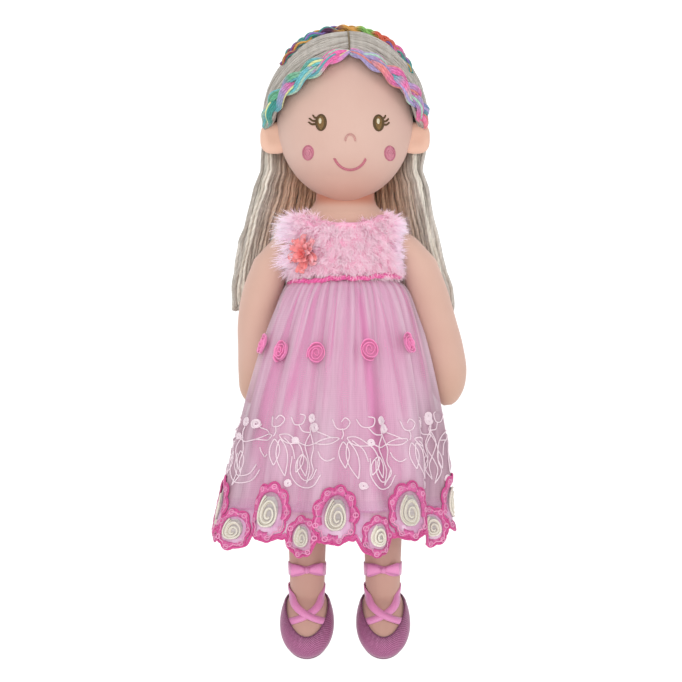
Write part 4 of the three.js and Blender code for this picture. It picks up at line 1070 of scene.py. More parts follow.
# %% Make the slippers
SHOE_CLOTH = 2.3
THROAT_HALF = (17.2, 35.5)
THROAT_BACK = 10.0
GATHERS = 30
SHOE_COLUMNS = 120
shoe_turn = np.arange(SHOE_COLUMNS) * TURN / SHOE_COLUMNS


def throat_lift(turn, grow):
    """How high up the foot's egg the slipper reaches at each turn."""
    lifts = np.linspace(0, math.pi / 2, 300)[:, None]
    place = foot_shell(turn[None, :], lifts, grow)
    open_here = (place[..., 0] / THROAT_HALF[0]) ** 2 + ((place[..., 1] - THROAT_BACK) / THROAT_HALF[1]) ** 2 <= 1
    edge = lifts[np.argmax(open_here, axis=0), 0]
    kernel = np.hanning(9) / np.hanning(9).sum()
    return np.convolve(np.concatenate([edge[-4:], edge, edge[:4]]), kernel, "valid") - 0.06


def make_shoe(side):
    """The upper: up its gathered outside, over the turned edge, then a little way down inside."""
    outer_half = FOOT_HALF[2] + SHOE_CLOTH
    low = math.asin(SOLE_PLANE / outer_half)
    high = throat_lift(shoe_turn, SHOE_CLOTH)
    share = np.linspace(0, 1, 26)[:, None]
    lift = low + (high - low)[None, :] * share
    gather = 0.55 * np.cos(GATHERS * shoe_turn)[None, :] * np.exp(-(1 - share) / 0.16)
    toe = np.clip(-np.sin(shoe_turn), 0, 1)[None, :] ** 2
    gather = gather * (0.35 + 0.65 * toe)
    outer = foot_shell(shoe_turn[None, :], lift, SHOE_CLOTH - 0.15)
    outer = outer + unit(outer) * gather[..., None]
    roll = foot_shell(shoe_turn, high + 0.05, SHOE_CLOTH - 0.9)[None]
    inner_lift = high[None, :] - np.linspace(0.0, 0.5, 6)[:, None] * np.minimum(high - low, 1.0)[None, :]
    inner = foot_shell(shoe_turn[None, :], inner_lift, 0.35)
    rings = np.concatenate([outer, roll, inner])
    rows = len(rings)
    uv = grid_uv(rows, SHOE_COLUMNS, TURN * 20, 30.0)
    shade = np.ones((rows, SHOE_COLUMNS, 3))
    # Painted shade: the outside darkens towards the opening's edge, and the turned edge and the part that goes down
    # inside are painted six tenths as bright, for the shade in the slipper.
    shade[20:26] *= 1 - 0.25 * np.linspace(0, 1, 6)[:, None, None]
    shade[26:] *= 0.6
    shoe = new_piece(f"slipper_upper_{SIDES[side]}", foot_place(rings, side), grid_faces(rows, SHOE_COLUMNS),
                     metallic_twill, shade, uv)
    sew_on(shoe, f"{SIDES[side]}_leg", "metallic_weave", f"shoe_upper_{SIDES[side]}")


def make_sole(side):
    """The flat sole, with a round edge."""
    share = np.array([0.1, 0.6, 0.9, 0.96, 1.0, 1.0, 0.96, 0.5, 0.1]) * 0.885
    height = SOLE_PLANE - np.array([2.6, 2.6, 2.6, 2.3, 1.7, 0.6, 0.1, 0.0, 0.0])
    rings = foot_shell(shoe_turn[None, :], np.zeros((9, 1)), SHOE_CLOTH) * share[:, None, None]
    rings[..., 2] = height[:, None]
    uv = np.concatenate([grid_uv(9, SHOE_COLUMNS, 110.0, 20.0), np.zeros((2 * SHOE_COLUMNS, 2))])
    sole = new_piece(f"slipper_sole_{SIDES[side]}", foot_place(rings, side), closed_faces(9, SHOE_COLUMNS),
                     metallic_twill, np.full((9, SHOE_COLUMNS, 3), 0.62), uv)
    sew_on(sole, f"{SIDES[side]}_leg", "sole_cloth", f"shoe_sole_{SIDES[side]}")


for make in (make_shoe, make_sole):
    for side in SIDES:
        make(side)
print("slippers made")

# %% [markdown]
# ## Slipper ribbons
# Narrow satin ribbons cross over the instep, climb round the ankle and meet behind it. Another is tied round
# the leg below the skirt. Each ribbon lies on whatever is under it, so rays are shot inwards at the finished
# leg from all round, and the ribbon is laid where they land. Its lower ends go down inside the slipper.

# %% Make the satin ribbon
def ribbon_material(name, colour, deep, roughness=0.38):
    """Satin: long floats along the ribbon shine in soft streaks, over a very fine rib."""
    material, tree, shader = new_material(name, Roughness=roughness, Sheen_Weight=0.3)
    place = add_node(tree, "UVMap")
    stretch = add_node(tree, "Mapping", {"Vector": place.outputs["UV"], "Scale": (0.5, 2.2, 1.0)})
    streak = add_node(tree, "TexNoise", {"Vector": stretch.outputs[0], "Scale": 1.0, "Detail": 3.0})
    dye_cloth(tree, shader, streak.outputs["Fac"], deep, colour)
    bump = add_node(tree, "Bump", {"Height": streak.outputs["Fac"], "Strength": 0.3, "Distance": 0.2 * mm})
    tree.links.new(bump.outputs["Normal"], shader.inputs["Normal"])
    return material


satin_ribbon = ribbon_material("satin_ribbon", "#f3a3d0", "#da78b2")


def strip_mesh(centre, across, proud, thick, shade):
    """A thin closed strip, as a part: six points round its section at each step along it."""
    a, b = centre - across, centre + across
    rows = np.stack([a, centre + proud * 0.25 * thick, b, b + proud * thick,
                     centre + proud * 1.3 * thick, a + proud * thick], 1)
    steps, sides = rows.shape[:2]
    faces = closed_faces(steps, sides)
    u, run = np.array([0, 3.0, 6.0, 6.0, 3.0, 0.0]), run_along(centre)
    uv = np.array([[u[i % sides], run[i // sides]] for face in faces for i in face])
    tint = np.broadcast_to(np.array(shade).reshape(-1, 1, 1), (steps, sides, 3))
    return rows.reshape(-1, 3), faces, uv, tint.reshape(-1, 3)


def surface_tree(piece):
    """The finished surface of a piece, in millimetres, for rays to land on."""
    places = np.empty(len(piece.data.vertices) * 3, np.float32)
    piece.data.vertices.foreach_get("co", places)
    faces = [list(p.vertices) for p in piece.data.polygons]
    return BVHTree.FromPolygons((places.reshape(-1, 3) / mm).tolist(), faces)


def laid_round(tree, side, turns, heights):
    """Where a ribbon lies on the leg at each turn round its axis, with the way out of the surface."""
    axis = np.array([side * LEG_OUT, 0.0, 0.0])
    places, outs = [], []
    for turn, height in zip(turns, heights):
        aim = np.array([math.cos(turn), math.sin(turn), 0.0])
        start = axis + aim * 70 + [0, 0, height]
        hit, normal, _, _ = tree.ray_cast(Vector(start), Vector(-aim), 75)
        places.append(hit if hit else axis + aim * 14 + [0, 0, height])
        outs.append(normal if hit else aim)
    places, outs = np.array(places), np.array(outs)
    kernel = np.array([0.2, 0.6, 0.2])
    for values in (places, outs):
        for _ in range(3):
            values[1:-1] = sum(kernel[k] * values[k:len(values) - 2 + k] for k in range(3))
    return places, unit(outs)


RIBBON_HALF, RIBBON_THICK = 3.0, 0.7
FRONT = -math.pi / 2
CROSS_HEIGHT, CROSS_FRONT = -262.3, -18.0
RIBBON_PITCH, RIBBON_SLOPE = math.radians(22), math.radians(34)
CALF_HEIGHT = -227.3


def band_height(turn, side_way, reach=17.0):
    """The height of an instep band at a turn round the leg, from the tilted plane that it lies in."""
    x, y = reach * np.cos(turn), reach * np.sin(turn)
    return CROSS_HEIGHT + side_way * x * math.tan(RIBBON_SLOPE) + (y - CROSS_FRONT) * math.tan(RIBBON_PITCH)


def lay_ribbon(tree, side, turns, heights, lift, half=RIBBON_HALF):
    """A ribbon laid on the leg at a lift, with one half width or one a step."""
    places, outs = laid_round(tree, side, turns, heights)
    along = unit(np.gradient(places, axis=0))
    across = unit(np.cross(outs, along)) * half
    shade = 1 - 0.12 * np.sin(np.linspace(0, 9, len(turns))) ** 2
    return strip_mesh(places + outs * lift, across, outs, RIBBON_THICK, shade)


def tie_ribbons(side):
    """The crossed instep bands of one leg, and its calf band with a bow."""
    label = SIDES[side]
    tree = surface_tree(legs[side])
    bands = []
    for way, lift in ((1, 0.2), (-1, 0.9)):
        start, end = (-math.pi * 0.86, math.pi * 0.5) if way > 0 else (-math.pi * 0.14, -math.pi * 1.5)
        turns = np.linspace(start, end, 80)
        bands.append(lay_ribbon(tree, side, turns, band_height(turns, way), lift))
    instep = joined_piece(f"instep_ribbon_satin_{label}", bands, satin_ribbon)
    turns = np.linspace(FRONT, 1.5 * math.pi, 90)
    wave = 0.8 * np.sin(3 * turns + side)
    pinch = 1 - 0.45 * np.exp(-((np.abs(turns - math.pi / 2) - math.pi) / 0.35) ** 2)
    calf_parts = [lay_ribbon(tree, side, turns, CALF_HEIGHT + wave * 0.6, 0.3, 4.8 * pinch[:, None])]
    front = laid_round(tree, side, np.full(3, FRONT), np.full(3, CALF_HEIGHT))[0][1]
    for way in (1, -1):
        loop = np.linspace(0, 1, 24)
        reach = way * 12.5 * np.sin(math.pi * loop)
        rise = 0.9 * np.sin(TURN * loop) + way * 0.5 * np.sin(math.pi * loop)
        out = -1.2 - 2.6 * np.sin(math.pi * loop) * np.where(loop < 0.5, 1.0, 0.25)
        centre = front + np.stack([reach, out + 0.09 * reach ** 2 / 3, rise], -1)
        half = np.array([0, 0, 1]) * (1.2 + 3.6 * np.sin(math.pi * loop))[:, None]
        calf_parts.append(strip_mesh(centre, half, np.array([[0, -1.0, 0]] * 24), 0.6, 1 - 0.2 * (loop > 0.5)))
    knot = ball_rings(np.array([2.0, 1.8, 2.6]), 12, 16) + front + [0, -2.6, 0]
    calf_parts.append(plain_part(knot, 0.92))
    calf = joined_piece(f"calf_ribbon_satin_{label}", calf_parts, satin_ribbon)
    sew_on(instep, f"{label}_leg", "satin_ribbon", f"instep_ribbon_{label}")
    sew_on(calf, f"{label}_leg", "satin_ribbon", f"calf_ribbon_{label}")


tie_ribbons(1)
tie_ribbons(-1)
print("slippers tied")

# %% [markdown]
# ## Fur bodice
# The bodice is cut from pink long pile fur cloth, and its pile hides every seam. A hair system would not reach
# a model for a game or a simulator, so each tuft is real mesh: a thin strip that starts on the cloth, leans
# down with gravity and bends towards the middle of its clump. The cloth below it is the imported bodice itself,
# remeshed finely and rounded. The tufts are lit as the cloth under them is, so that the pile looks soft and not
# like separate blades.

# %% Make the bodice cloth
PILE_LENGTH = 6.2
PILE_COUNT = 30000
PILE_CLUMPS = 1300


def rounded_copy(node, voxel, rounds):
    """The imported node's shape as points and faces in millimetres, remeshed finely and rounded."""
    copy = bpy.data.objects.new(node + "_copy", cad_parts[node].data.copy())
    bpy.context.scene.collection.objects.link(copy)
    places, faces = remeshed(copy, voxel, rounds)
    return places.astype(float) / mm, np.array(faces)


def fibre_material():
    """Acrylic pile in its Tint colours, matt, with a soft sheen where fibres turn away."""
    material, tree, shader = new_material("acrylic_pile", Roughness=0.75, Sheen_Weight=0.25, Sheen_Roughness=0.5)
    place = add_node(tree, "TexCoord")
    uneven = add_node(tree, "TexNoise", {"Vector": place.outputs["Object"], "Scale": 160.0, "Detail": 2.0})
    shade = add_node(tree, "MapRange", {"Value": uneven.outputs["Fac"], "To Min": 0.88, "To Max": 1.1})
    tint = add_node(tree, "Attribute", attribute_name="Tint")
    colour = add_node(tree, "VectorMath", {0: tint.outputs["Color"], 1: shade.outputs["Result"]},
                      operation="MULTIPLY")
    tree.links.new(colour.outputs[0], shader.inputs["Base Color"])
    return material


acrylic_pile = fibre_material()
cloth_points, cloth_faces = rounded_copy("bodice", 1.7, 4)
cloth_points[:, 2] -= 0.5 * np.maximum(cloth_points[:, 2] - 44, 0)
print("bodice cloth:", len(cloth_points), "points, up to", round(cloth_points[:, 2].max(), 1), "mm")

# %% Grow the pile
OUT_SCALE = [1, (TORSO_HALF_WIDTH / TORSO_HALF_DEPTH) ** 2, 0]  # turns a place into the way out of the body
FUR_ROOT, FUR_MID, FUR_TIP = (np.array(linear(h)) for h in ("#ffb8d6", "#ffd4e6", "#ffeef5"))


def grow_pile(points, faces):
    """Curved tufts on the outside of the cloth, as points, faces, tints and normals."""
    corner = points[faces]
    middle = corner.mean(axis=1)
    normal = np.cross(corner[:, 2] - corner[:, 0], corner[:, 3] - corner[:, 1])
    size = np.linalg.norm(normal, axis=1)
    normal = unit(normal)
    out = unit(middle * OUT_SCALE)
    outward = (normal * out).sum(1) > -0.15
    weight = np.where(outward, size, 0)
    face = rng.choice(len(faces), PILE_COUNT, p=weight / weight.sum())
    mix = rng.dirichlet(np.ones(4), PILE_COUNT)
    root = (corner[face] * mix[..., None]).sum(1)
    normal = unit(normal[face] + 0.35 * out[face])
    clump = root[rng.choice(PILE_COUNT, PILE_CLUMPS, replace=False)]
    nearest = np.argmin(((root[:, None] - clump[None]) ** 2).sum(-1), axis=1)
    lean = rng.normal(0, 0.36, (PILE_CLUMPS, 3))[nearest] + rng.normal(0, 0.3, (PILE_COUNT, 3))
    high = eased((root[:, 2:] - 44) / 12)
    edge = eased((np.abs(root[:, :1]) - 33) / 8) * (1 - high) * eased((root[:, 2:] - 4) / 14)
    down = -0.35 - 0.3 * high
    aim = unit(0.5 * normal + lean + 0.8 * edge * np.sign(root[:, :1]) * [1, 0, 0] + down * [0, 0, 1])
    length = PILE_LENGTH * rng.uniform(0.65, 1.25, (PILE_COUNT, 1))
    length = length * rng.uniform(0.8, 1.2, PILE_CLUMPS)[nearest, None]
    length = length * (1 + (1.2 - 0.6 * np.sign(root[:, :1])) * edge + 0.1 * high)
    pull = (clump[nearest] - root) * 0.5
    t = np.array([0, 0.35, 0.7, 1.0])[None, :, None]
    line = root[:, None] - normal[:, None] * 0.4 + aim[:, None] * length[:, None] * t
    line = line + (pull[:, None] - [0, 0, 0.9]) * t ** 2
    beside = eased((np.abs(root[:, :1]) - 24) / 12)
    facing = unit(normal + beside * np.sign(root[:, 1:2]) * [0, 1.8, 0])
    across = unit(np.cross(facing + 0.2 * rng.normal(0, 1, (PILE_COUNT, 3)), aim))[:, None]
    half = np.array([0.21, 0.2, 0.14, 0.03])[None, :, None]
    strips = np.stack([line - across * half, line + across * half], 2).reshape(-1, 3)
    row = np.arange(3)[None, :] * 2 + np.arange(PILE_COUNT)[:, None] * 8
    quads = np.stack([row, row + 2, row + 3, row + 1], -1).reshape(-1, 4)
    shade = rng.uniform(0, 1, (PILE_COUNT, 1, 1)) * 0.6 + 0.4 * rng.uniform(0, 1, PILE_CLUMPS)[nearest][:, None, None]
    tip = FUR_MID + (FUR_TIP - FUR_MID) * shade
    # Painted shade: each tuft is painted darker at the root than at the tip, for the shade deep in the pile.
    tint = FUR_ROOT + (tip - FUR_ROOT) * np.array([0, 0.55, 0.9, 1.0])[None, :, None]
    # Painted light: the tufts at the sides are tinted lighter, to lift their shade where they turn away from the
    # lamps.
    tint = np.clip(tint * (1 + 0.15 * edge[:, None]), 0, 1)
    soft = np.broadcast_to(unit(facing[:, None] + np.cross(aim[:, None], across)), line.shape)
    return strips, quads, np.repeat(tint, 2, axis=1).reshape(-1, 3), np.repeat(soft, 2, axis=1).reshape(-1, 3)


pile_points, pile_faces, pile_tint, pile_normals = grow_pile(cloth_points, cloth_faces)
all_points = np.concatenate([cloth_points, pile_points])
all_faces = cloth_faces.tolist() + (pile_faces + len(cloth_points)).tolist()
# Painted shade: the cloth under the tufts is a darker copy of the root colour.
all_tints = np.concatenate([np.broadcast_to(FUR_ROOT * 0.9, cloth_points.shape), pile_tint])
bodice = new_piece("fur_bodice", all_points, all_faces, acrylic_pile, all_tints)
cloth_normals = unit(cloth_points * OUT_SCALE)
bodice.data.normals_split_custom_set_from_vertices(np.concatenate([cloth_normals, pile_normals]).tolist())
sew_on(bodice, "torso", "pink_fur_cloth", "bodice")
print("pile:", PILE_COUNT, "tufts")

# %% [markdown]
# ## Waist cord
# A cord of three rose satin strands covers the seam between bodice and skirt. It was sewn on by hand, so it is
# a little wavy and climbs a bit towards the doll's left. The strands are wound round the path of the seam.

# %% Wind the waist cord
WAIST_HALF = np.array([41.52, 30.08])
CORD_RISE = 1.2


def cord_strand(k, angle):
    """One strand of three, wound round the wavy path of the seam."""
    height = CORD_RISE + 2.9 * np.cos(angle) + 0.7 * np.sin(7 * angle + 1) + 0.5 * np.sin(23 * angle)
    spin = 30 * angle + TURN * k / 3
    reach = WAIST_HALF + 2.4 + (np.cos(spin) * 1.15)[:, None]
    return np.stack([reach[:, 0] * np.cos(angle), reach[:, 1] * np.sin(angle), height + 1.15 * np.sin(spin)], -1)


rose_satin_cord = thread_material("satin_cord", 0.4, 3, 3.5, 0.35, relief=0.2)
strands = np.stack([cord_strand(k, np.linspace(0, TURN, 361)[:-1]) for k in range(3)])
strands = np.concatenate([strands, strands[:, :2]], axis=1)
cord_shade = 0.8 + 0.35 * rng.uniform(0, 1, (3, strands.shape[1], 1))
cord = thread_piece("waist_cord_satin", strands, 1.15, rose_satin_cord,
                    np.clip(np.array(linear("#ff6cb2")) * cord_shade, 0, 1))
sew_on(cord, "torso", "satin_cord", "waist_cord")

# %% [markdown]
# ## Ribbon flower
# The flower is folded from coral ribbon: three rings of narrow looped petals round a small knot. Each petal is a
# cupped strip that rises from the middle, curls at its tip and is palest there. The petals are not alike, as a
# folded flower never is.

# %% Fold the flower
FLOWER_X, FLOWER_Z = -30.2, 20.6


def bodice_surface(x, z):
    """A place on the outside of the bodice and the way it faces."""
    width, depth = 0.9 * (TORSO_HALF_WIDTH + 5), 0.9 * (TORSO_HALF_DEPTH + 5)
    y = -depth * math.sqrt(1 - (x / width) ** 2)
    return np.array([x, y, z]), unit(np.array([x / width ** 2, y / depth ** 2, 0.0]))


coral_ribbon = ribbon_material("coral_ribbon", "#fba7a5", "#ef6a6c")
flower_at, flower_out = bodice_surface(FLOWER_X, FLOWER_Z)
flower_side = unit(np.cross([0.0, 0, 1], flower_out))
flower_up = np.cross(flower_out, flower_side)
PETAL_BASE_SHADE = np.array([0.78, 0.5, 0.52])


def folded_part(rows, pitch, shade):
    """Rows of points round a folded strip as a part, with its weave at a pitch across."""
    faces, columns = closed_faces(*rows.shape[:2]), rows.shape[1]
    uv = np.array([[(i % columns) * pitch, i // columns] for face in faces for i in face])
    return rows.reshape(-1, 3), faces, uv, np.broadcast_to(shade, rows.shape).reshape(-1, 3)


def petal(turn, length, width, rise, curl, pale, sway=0.0):
    """A cupped petal that leaves the flower's middle at a turn, with two layers a hair apart."""
    s = np.linspace(0, 1, 14)[:, None]
    t = np.linspace(-1, 1, 9)[None, :]
    half = width * np.sin(np.clip(0.12 + 0.88 * s ** 0.8, 0, 1) * math.pi) ** 0.7 * (1 - 0.15 * s)
    reach = length * np.sin(s * math.pi / 2 * (1 + 0.25 * curl))
    lift = rise * np.sin(s * math.pi * 0.75) + curl * 2.2 * s ** 3
    cup = lift + 1.7 * (t ** 2) * np.sin(s * math.pi) + 1.2
    place = np.stack(np.broadcast_arrays(reach * np.ones_like(t), half * t, cup), -1)
    cos, sin = np.cos(turn + sway * s ** 2), np.sin(turn + sway * s ** 2)
    x = place[..., 0] * cos - place[..., 1] * sin
    y = place[..., 0] * sin + place[..., 1] * cos
    top = flower_at + x[..., None] * flower_side + y[..., None] * flower_up + place[..., 2:] * flower_out
    under = top - 0.35 * flower_out
    # Painted shade: each petal is painted darker and redder at its base, where the petals crowd in the middle.
    shade = PETAL_BASE_SHADE + (1 - PETAL_BASE_SHADE) * np.clip(s * 2.2, 0, 1)[..., None]
    shade = shade * (1 + pale * np.array([0.0, 1.1, 1.4]) * s[..., None] ** 0.7)
    return folded_part(np.concatenate([top, under[:, ::-1]], 1), 0.5, shade)


petals = []
for ring, (count, length, rise) in enumerate(((12, 15.5, 1.8), (10, 12.0, 3.6), (7, 8.0, 5.2))):
    for i in range(count):
        turn = TURN * (i + 0.5 * ring) / count + rng.uniform(-0.2, 0.2)
        pale = 1.0 if math.cos(turn - 0.5) > 0.1 else 0.2
        petals.append(petal(turn, length * rng.uniform(0.86, 1.05), rng.uniform(2.1, 3.1), rise,
                            rng.uniform(0.1, 1.1), pale * rng.uniform(0.3, 1), rng.uniform(-0.5, 0.5)))
sew_on(joined_piece("ribbon_flower", petals, coral_ribbon), "torso", "coral_ribbon", "flower_petals")
knot = [petal(TURN * i / 9 + rng.uniform(-0.2, 0.2), 4.2 * rng.uniform(0.7, 1.0), 1.3, 5.2, 0.3, 0.0)
        for i in range(9)]
# Painted shade: the knot in the middle is a darker, redder copy of the ribbon.
heart = joined_piece("ribbon_flower_knot", knot, coral_ribbon, [1, 0.8, 0.8])
sew_on(heart, "torso", "coral_ribbon", "flower_heart")
print("flower folded")

# %% [markdown]
# ## The surface of the skirt
# Lining, net, embroidery, lace and roses all lie on one flared form, so its outside is one function of the
# turn round the body and the depth below the waist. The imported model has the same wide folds. Cloth that is
# gathered into a seam has many small pleats there, which join into fewer, wider folds lower down, so three
# waves of different lengths are added. Where an arm hangs, the skirt is pressed in.

# %% Work out the skirt
SKIRT_LENGTH = 201.0
HEM_HALF = np.array([96.0, 78.0])
FLARE = 0.58
FOLD, FOLD_GROWTH = 6.5, 0.7
DRIFT = 9.0
ARM_CLEAR = 2.0


def skirt_centre(depth):
    return -DRIFT * depth / SKIRT_LENGTH


def wide_folds(turn):
    """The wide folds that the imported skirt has: twelve and seven waves, 1 on a ridge."""
    return 0.65 * np.cos(12 * turn + 0.29 * TURN) + 0.35 * np.cos(7 * turn)


def free_radius(turn, depth):
    """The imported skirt's own radius, with nothing beside it."""
    share = np.clip(depth / SKIRT_LENGTH, 0.0, 1.0)
    half = [WAIST_HALF[i] + (HEM_HALF[i] - WAIST_HALF[i]) * share ** FLARE for i in range(2)]
    oval = half[0] * half[1] / np.hypot(half[1] * np.cos(turn), half[0] * np.sin(turn))
    return oval + FOLD * share ** FOLD_GROWTH * wide_folds(turn)


def arm_press(turn, depth):
    """How far an arm that hangs beside the skirt presses it in."""
    press = np.zeros(np.broadcast(turn, depth).shape)
    height = np.maximum(-depth, ARM_HEIGHT - 0.95 * ARM_LENGTH)
    heights = ARM_HEIGHT - ARM_ALONG[::-1] * ARM_LENGTH
    for side in (1, -1):
        x = side * (SHOULDER_OUT + np.interp(height, heights, ARM_OUT[side][::-1]) * ARM_LENGTH) - skirt_centre(depth)
        y = np.interp(height, heights, ARM_BACK[::-1]) * ARM_LENGTH
        girth = np.interp(height, heights, ARM_GIRTH[::-1]) * ARM_RADIUS
        clear = np.maximum(girth, 0.78 * ARM_RADIUS) + ARM_CLEAR
        for step in np.radians([-8, -5, -2.5, 0, 2.5, 5, 8]):
            at = turn + step
            along = x * np.cos(at) + y * np.sin(at)
            aside = x * np.sin(at) - y * np.cos(at)
            met = (along > 0) & (np.abs(aside) < clear)
            reach = along - np.sqrt(np.maximum(clear ** 2 - aside ** 2, 0))
            here = np.where(met, free_radius(at, depth) - reach, 0) - 2.5 * (step / 0.1) ** 2
            press = np.maximum(press, here)
    return press * (1 - eased((depth - 97) / 22))


def pleats(turn, depth):
    """Small pleats below the waist seam that run out into a few softer folds."""
    small = 1.15 * np.cos(44 * turn + 1.7 * np.sin(5 * turn)) * np.exp(-depth / 34) * np.clip(depth / 5, 0, 1)
    middle = 1.5 * np.cos(23 * turn + 2.2 + 1.4 * np.sin(2 * turn)) * eased(depth / 50)
    middle = middle * (1 - 0.4 * eased((depth - 90) / 90))
    return small + middle - 1.2 * eased(depth / 50)


def skirt_place(turn, depth, proud=0.0):
    """A place on the outside of the net skirt."""
    turn, depth = np.broadcast_arrays(np.asarray(turn, float), np.asarray(depth, float))
    radius = free_radius(turn, depth) - arm_press(turn, depth) + pleats(turn, depth) + proud
    radius = radius - 5.0 * eased((depth - 135) / 50) * np.clip(np.cos(turn), 0, 1) ** 2
    return np.stack([skirt_centre(depth) + radius * np.cos(turn), radius * np.sin(turn), -depth], -1)


# Each: turn from the front at the waist, how far it spreads, width, depth of its end, strength.
VALLEYS = ((0.25, 0.2, 0.17, 178, 1.0), (-0.55, -0.16, 0.11, 110, 0.9), (-0.13, -0.05, 0.05, 78, 0.85),
           (-0.3, -0.06, 0.05, 70, 0.7), (0.62, 0.2, 0.07, 120, 0.55), (-0.9, -0.15, 0.08, 150, 0.75))


def ridge(turn, depth):
    """1 on the ridge of a wide fold and 0 in its valley, where the cloth turns away from the light."""
    return 0.5 + 0.5 * wide_folds(turn) * eased(depth / 30)


def valley(turn, depth):
    """1 in the few deep folds of the front, where the lining is painted deeper and the net thinner, a painted shade.
    """
    from_front = np.arctan2(np.sin(turn - FRONT), np.cos(turn - FRONT))
    deep = np.zeros(np.broadcast(turn, depth).shape)
    for start, spread, width, end, strength in VALLEYS:
        at = start + spread * np.clip(depth / 150, 0, 1) ** 0.7
        wide = width * (0.3 + 0.7 * np.clip(depth / 110, 0, 1))
        aside = (from_front - at) / wide
        near = np.where(aside < 0, np.exp(-(aside / 0.35) ** 2), np.exp(-aside ** 2))
        ends = eased(depth / 20) * (1 - eased((depth - end + 30) / 30))
        deep = np.maximum(deep, strength * near * ends)
    return deep


def gathers(turn, depth):
    """Painted light and shade: light and dark streaks that run down from the seam, strongest there."""
    streak = np.cos(44 * turn + 1.7 * np.sin(5 * turn)) + 0.7 * np.cos(29 * turn + 2 * np.sin(3 * turn) + 1)
    return streak / 1.7 * np.exp(-depth / 60)


def mesh_area(piece):
    return sum(face.area for face in piece.data.polygons)


def dress_piece(piece, slot, *nodes):
    """Fixes the piece in place, hides the imported nodes that it replaces, and prints its area."""
    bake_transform(piece)
    if nodes:
        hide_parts(*nodes)
    print(piece.name, round(mesh_area(piece), 4), "square metres")


# %% [markdown]
# ## Satin lining
# Under the net hangs a plain rose satin skirt. It gives the dress its colour. Satin is smooth, with a wide soft
# gloss, and it hangs in the same folds as the net but a little closer to the legs.

# %% Make the lining
LINING_LENGTH = 178.0
HEM_ROUND = 560.0  # mm round the hem, for the size of every weave


def satin_material():
    """Satin in two near dyes, streaked down the cloth, with a faint weave."""
    material, tree, shader = new_material("polyester_satin", Roughness=0.42, Sheen_Weight=0.3)
    place = add_node(tree, "UVMap")
    stretch = add_node(tree, "Mapping", {"Vector": place.outputs["UV"], "Scale": (0.09, 0.012, 1.0)})
    soft = add_node(tree, "TexNoise", {"Vector": stretch.outputs[0], "Scale": 1.0, "Detail": 3.0})
    dye_cloth(tree, shader, soft.outputs["Fac"], "#cf6fa6", "#e08fbd")
    weave = add_node(tree, "TexNoise", {"Vector": place.outputs["UV"], "Scale": 1.2, "Detail": 1.0})
    bump = add_node(tree, "Bump", {"Height": weave.outputs["Fac"], "Strength": 0.15, "Distance": 0.1 * mm})
    tree.links.new(bump.outputs["Normal"], shader.inputs["Normal"])
    return material


def skirt_sheet(name, material, turn, depth, proud, tint, tall):
    """A sheet all round the skirt, from rows of turns and depths, some mm proud of the net."""
    rings = skirt_place(turn, depth, proud)
    rows, columns = rings.shape[:2]
    return new_piece(name, rings, grid_faces(rows, columns), material, tint, grid_uv(rows, columns, HEM_ROUND, tall))


turn = (np.arange(300) * TURN / 300)[None, :]
depth = np.linspace(0.4, LINING_LENGTH, 64)[:, None] * np.ones((1, 300))
inset = 1.6 + 6.0 * (depth / LINING_LENGTH) ** 0.8
# Painted shade: the lining is tinted lighter on the ridges of the wide folds, streaked light and dark by the gathers,
# and deeper pink in the deep folds of the front.
shade = 0.88 + 0.14 * ridge(turn, depth) + 0.1 * gathers(turn, depth)
tint = shade[..., None] * (1 - valley(turn, depth)[..., None] * [0.06, 0.2, 0.1])
lining = skirt_sheet("satin_lining", satin_material(), turn, depth, -inset, tint, LINING_LENGTH)
dress_piece(lining, "satin_lining", "underskirt")

# %% [markdown]
# ## Net skirt
# The outer skirt is fine polyester net, gathered to half its width at the waist. Net is mostly air, so the
# satin shows through it, and it looks whiter and denser where folds lie on one another. The material lets most
# of the light through, less in streaks that follow the gathers.

# %% Make the net skirt
NET_LENGTH = 168.0
NET_HOLE = 1.6  # the real holes are 1 mm, drawn larger so that they show


def net_material(name, colour, layered, thin, dense, hole):
    """Net in one colour, greyer where its Tint says that several layers lie on one another."""
    material, tree, shader = new_material(name, Roughness=0.6, Sheen_Weight=0.4)
    place = add_node(tree, "UVMap")
    stretch = add_node(tree, "Mapping", {"Vector": place.outputs["UV"], "Scale": (0.11, 0.012, 1.0)})
    streak = add_node(tree, "TexNoise", {"Vector": stretch.outputs[0], "Scale": 1.0, "Detail": 4.0})
    cover = add_node(tree, "MapRange", {
        "Value": streak.outputs["Fac"], "From Min": 0.32, "From Max": 0.68, "To Min": thin, "To Max": dense})
    cell = add_node(tree, "TexVoronoi", {
        "Vector": place.outputs["UV"], "Scale": 1 / hole, "Randomness": 0.15}, feature="DISTANCE_TO_EDGE")
    thread = add_node(tree, "MapRange", {
        "Value": cell.outputs["Distance"], "From Min": 0.0, "From Max": 0.22, "To Min": 0.07, "To Max": 0.0})
    folded = add_node(tree, "Attribute", attribute_name="Tint")
    many = add_node(tree, "MapRange", {"Value": folded.outputs["Fac"], "From Min": 1.1, "From Max": 1.9})
    grey = add_node(tree, "Mix", {
        0: many.outputs["Result"], 6: (*linear(colour), 1), 7: (*linear(layered), 1)}, data_type="RGBA")
    tree.links.new(grey.outputs[2], shader.inputs["Base Color"])
    dense_fold = add_node(tree, "Math", {0: cover.outputs["Result"], 1: folded.outputs["Fac"]},
                          operation="MULTIPLY")
    alpha = add_node(tree, "Math", {0: dense_fold.outputs[0], 1: thread.outputs["Result"]},
                     operation="ADD", use_clamp=True)
    tree.links.new(alpha.outputs[0], shader.inputs["Alpha"])
    return material


polyester_net = net_material("polyester_net", "#e8cfde", "#b893a4", 0.26, 0.52, NET_HOLE)
turn = (np.arange(420) * TURN / 420)[None, :]
depth = np.linspace(0.2, NET_LENGTH + 8, 84)[:, None] * np.ones((1, 420))
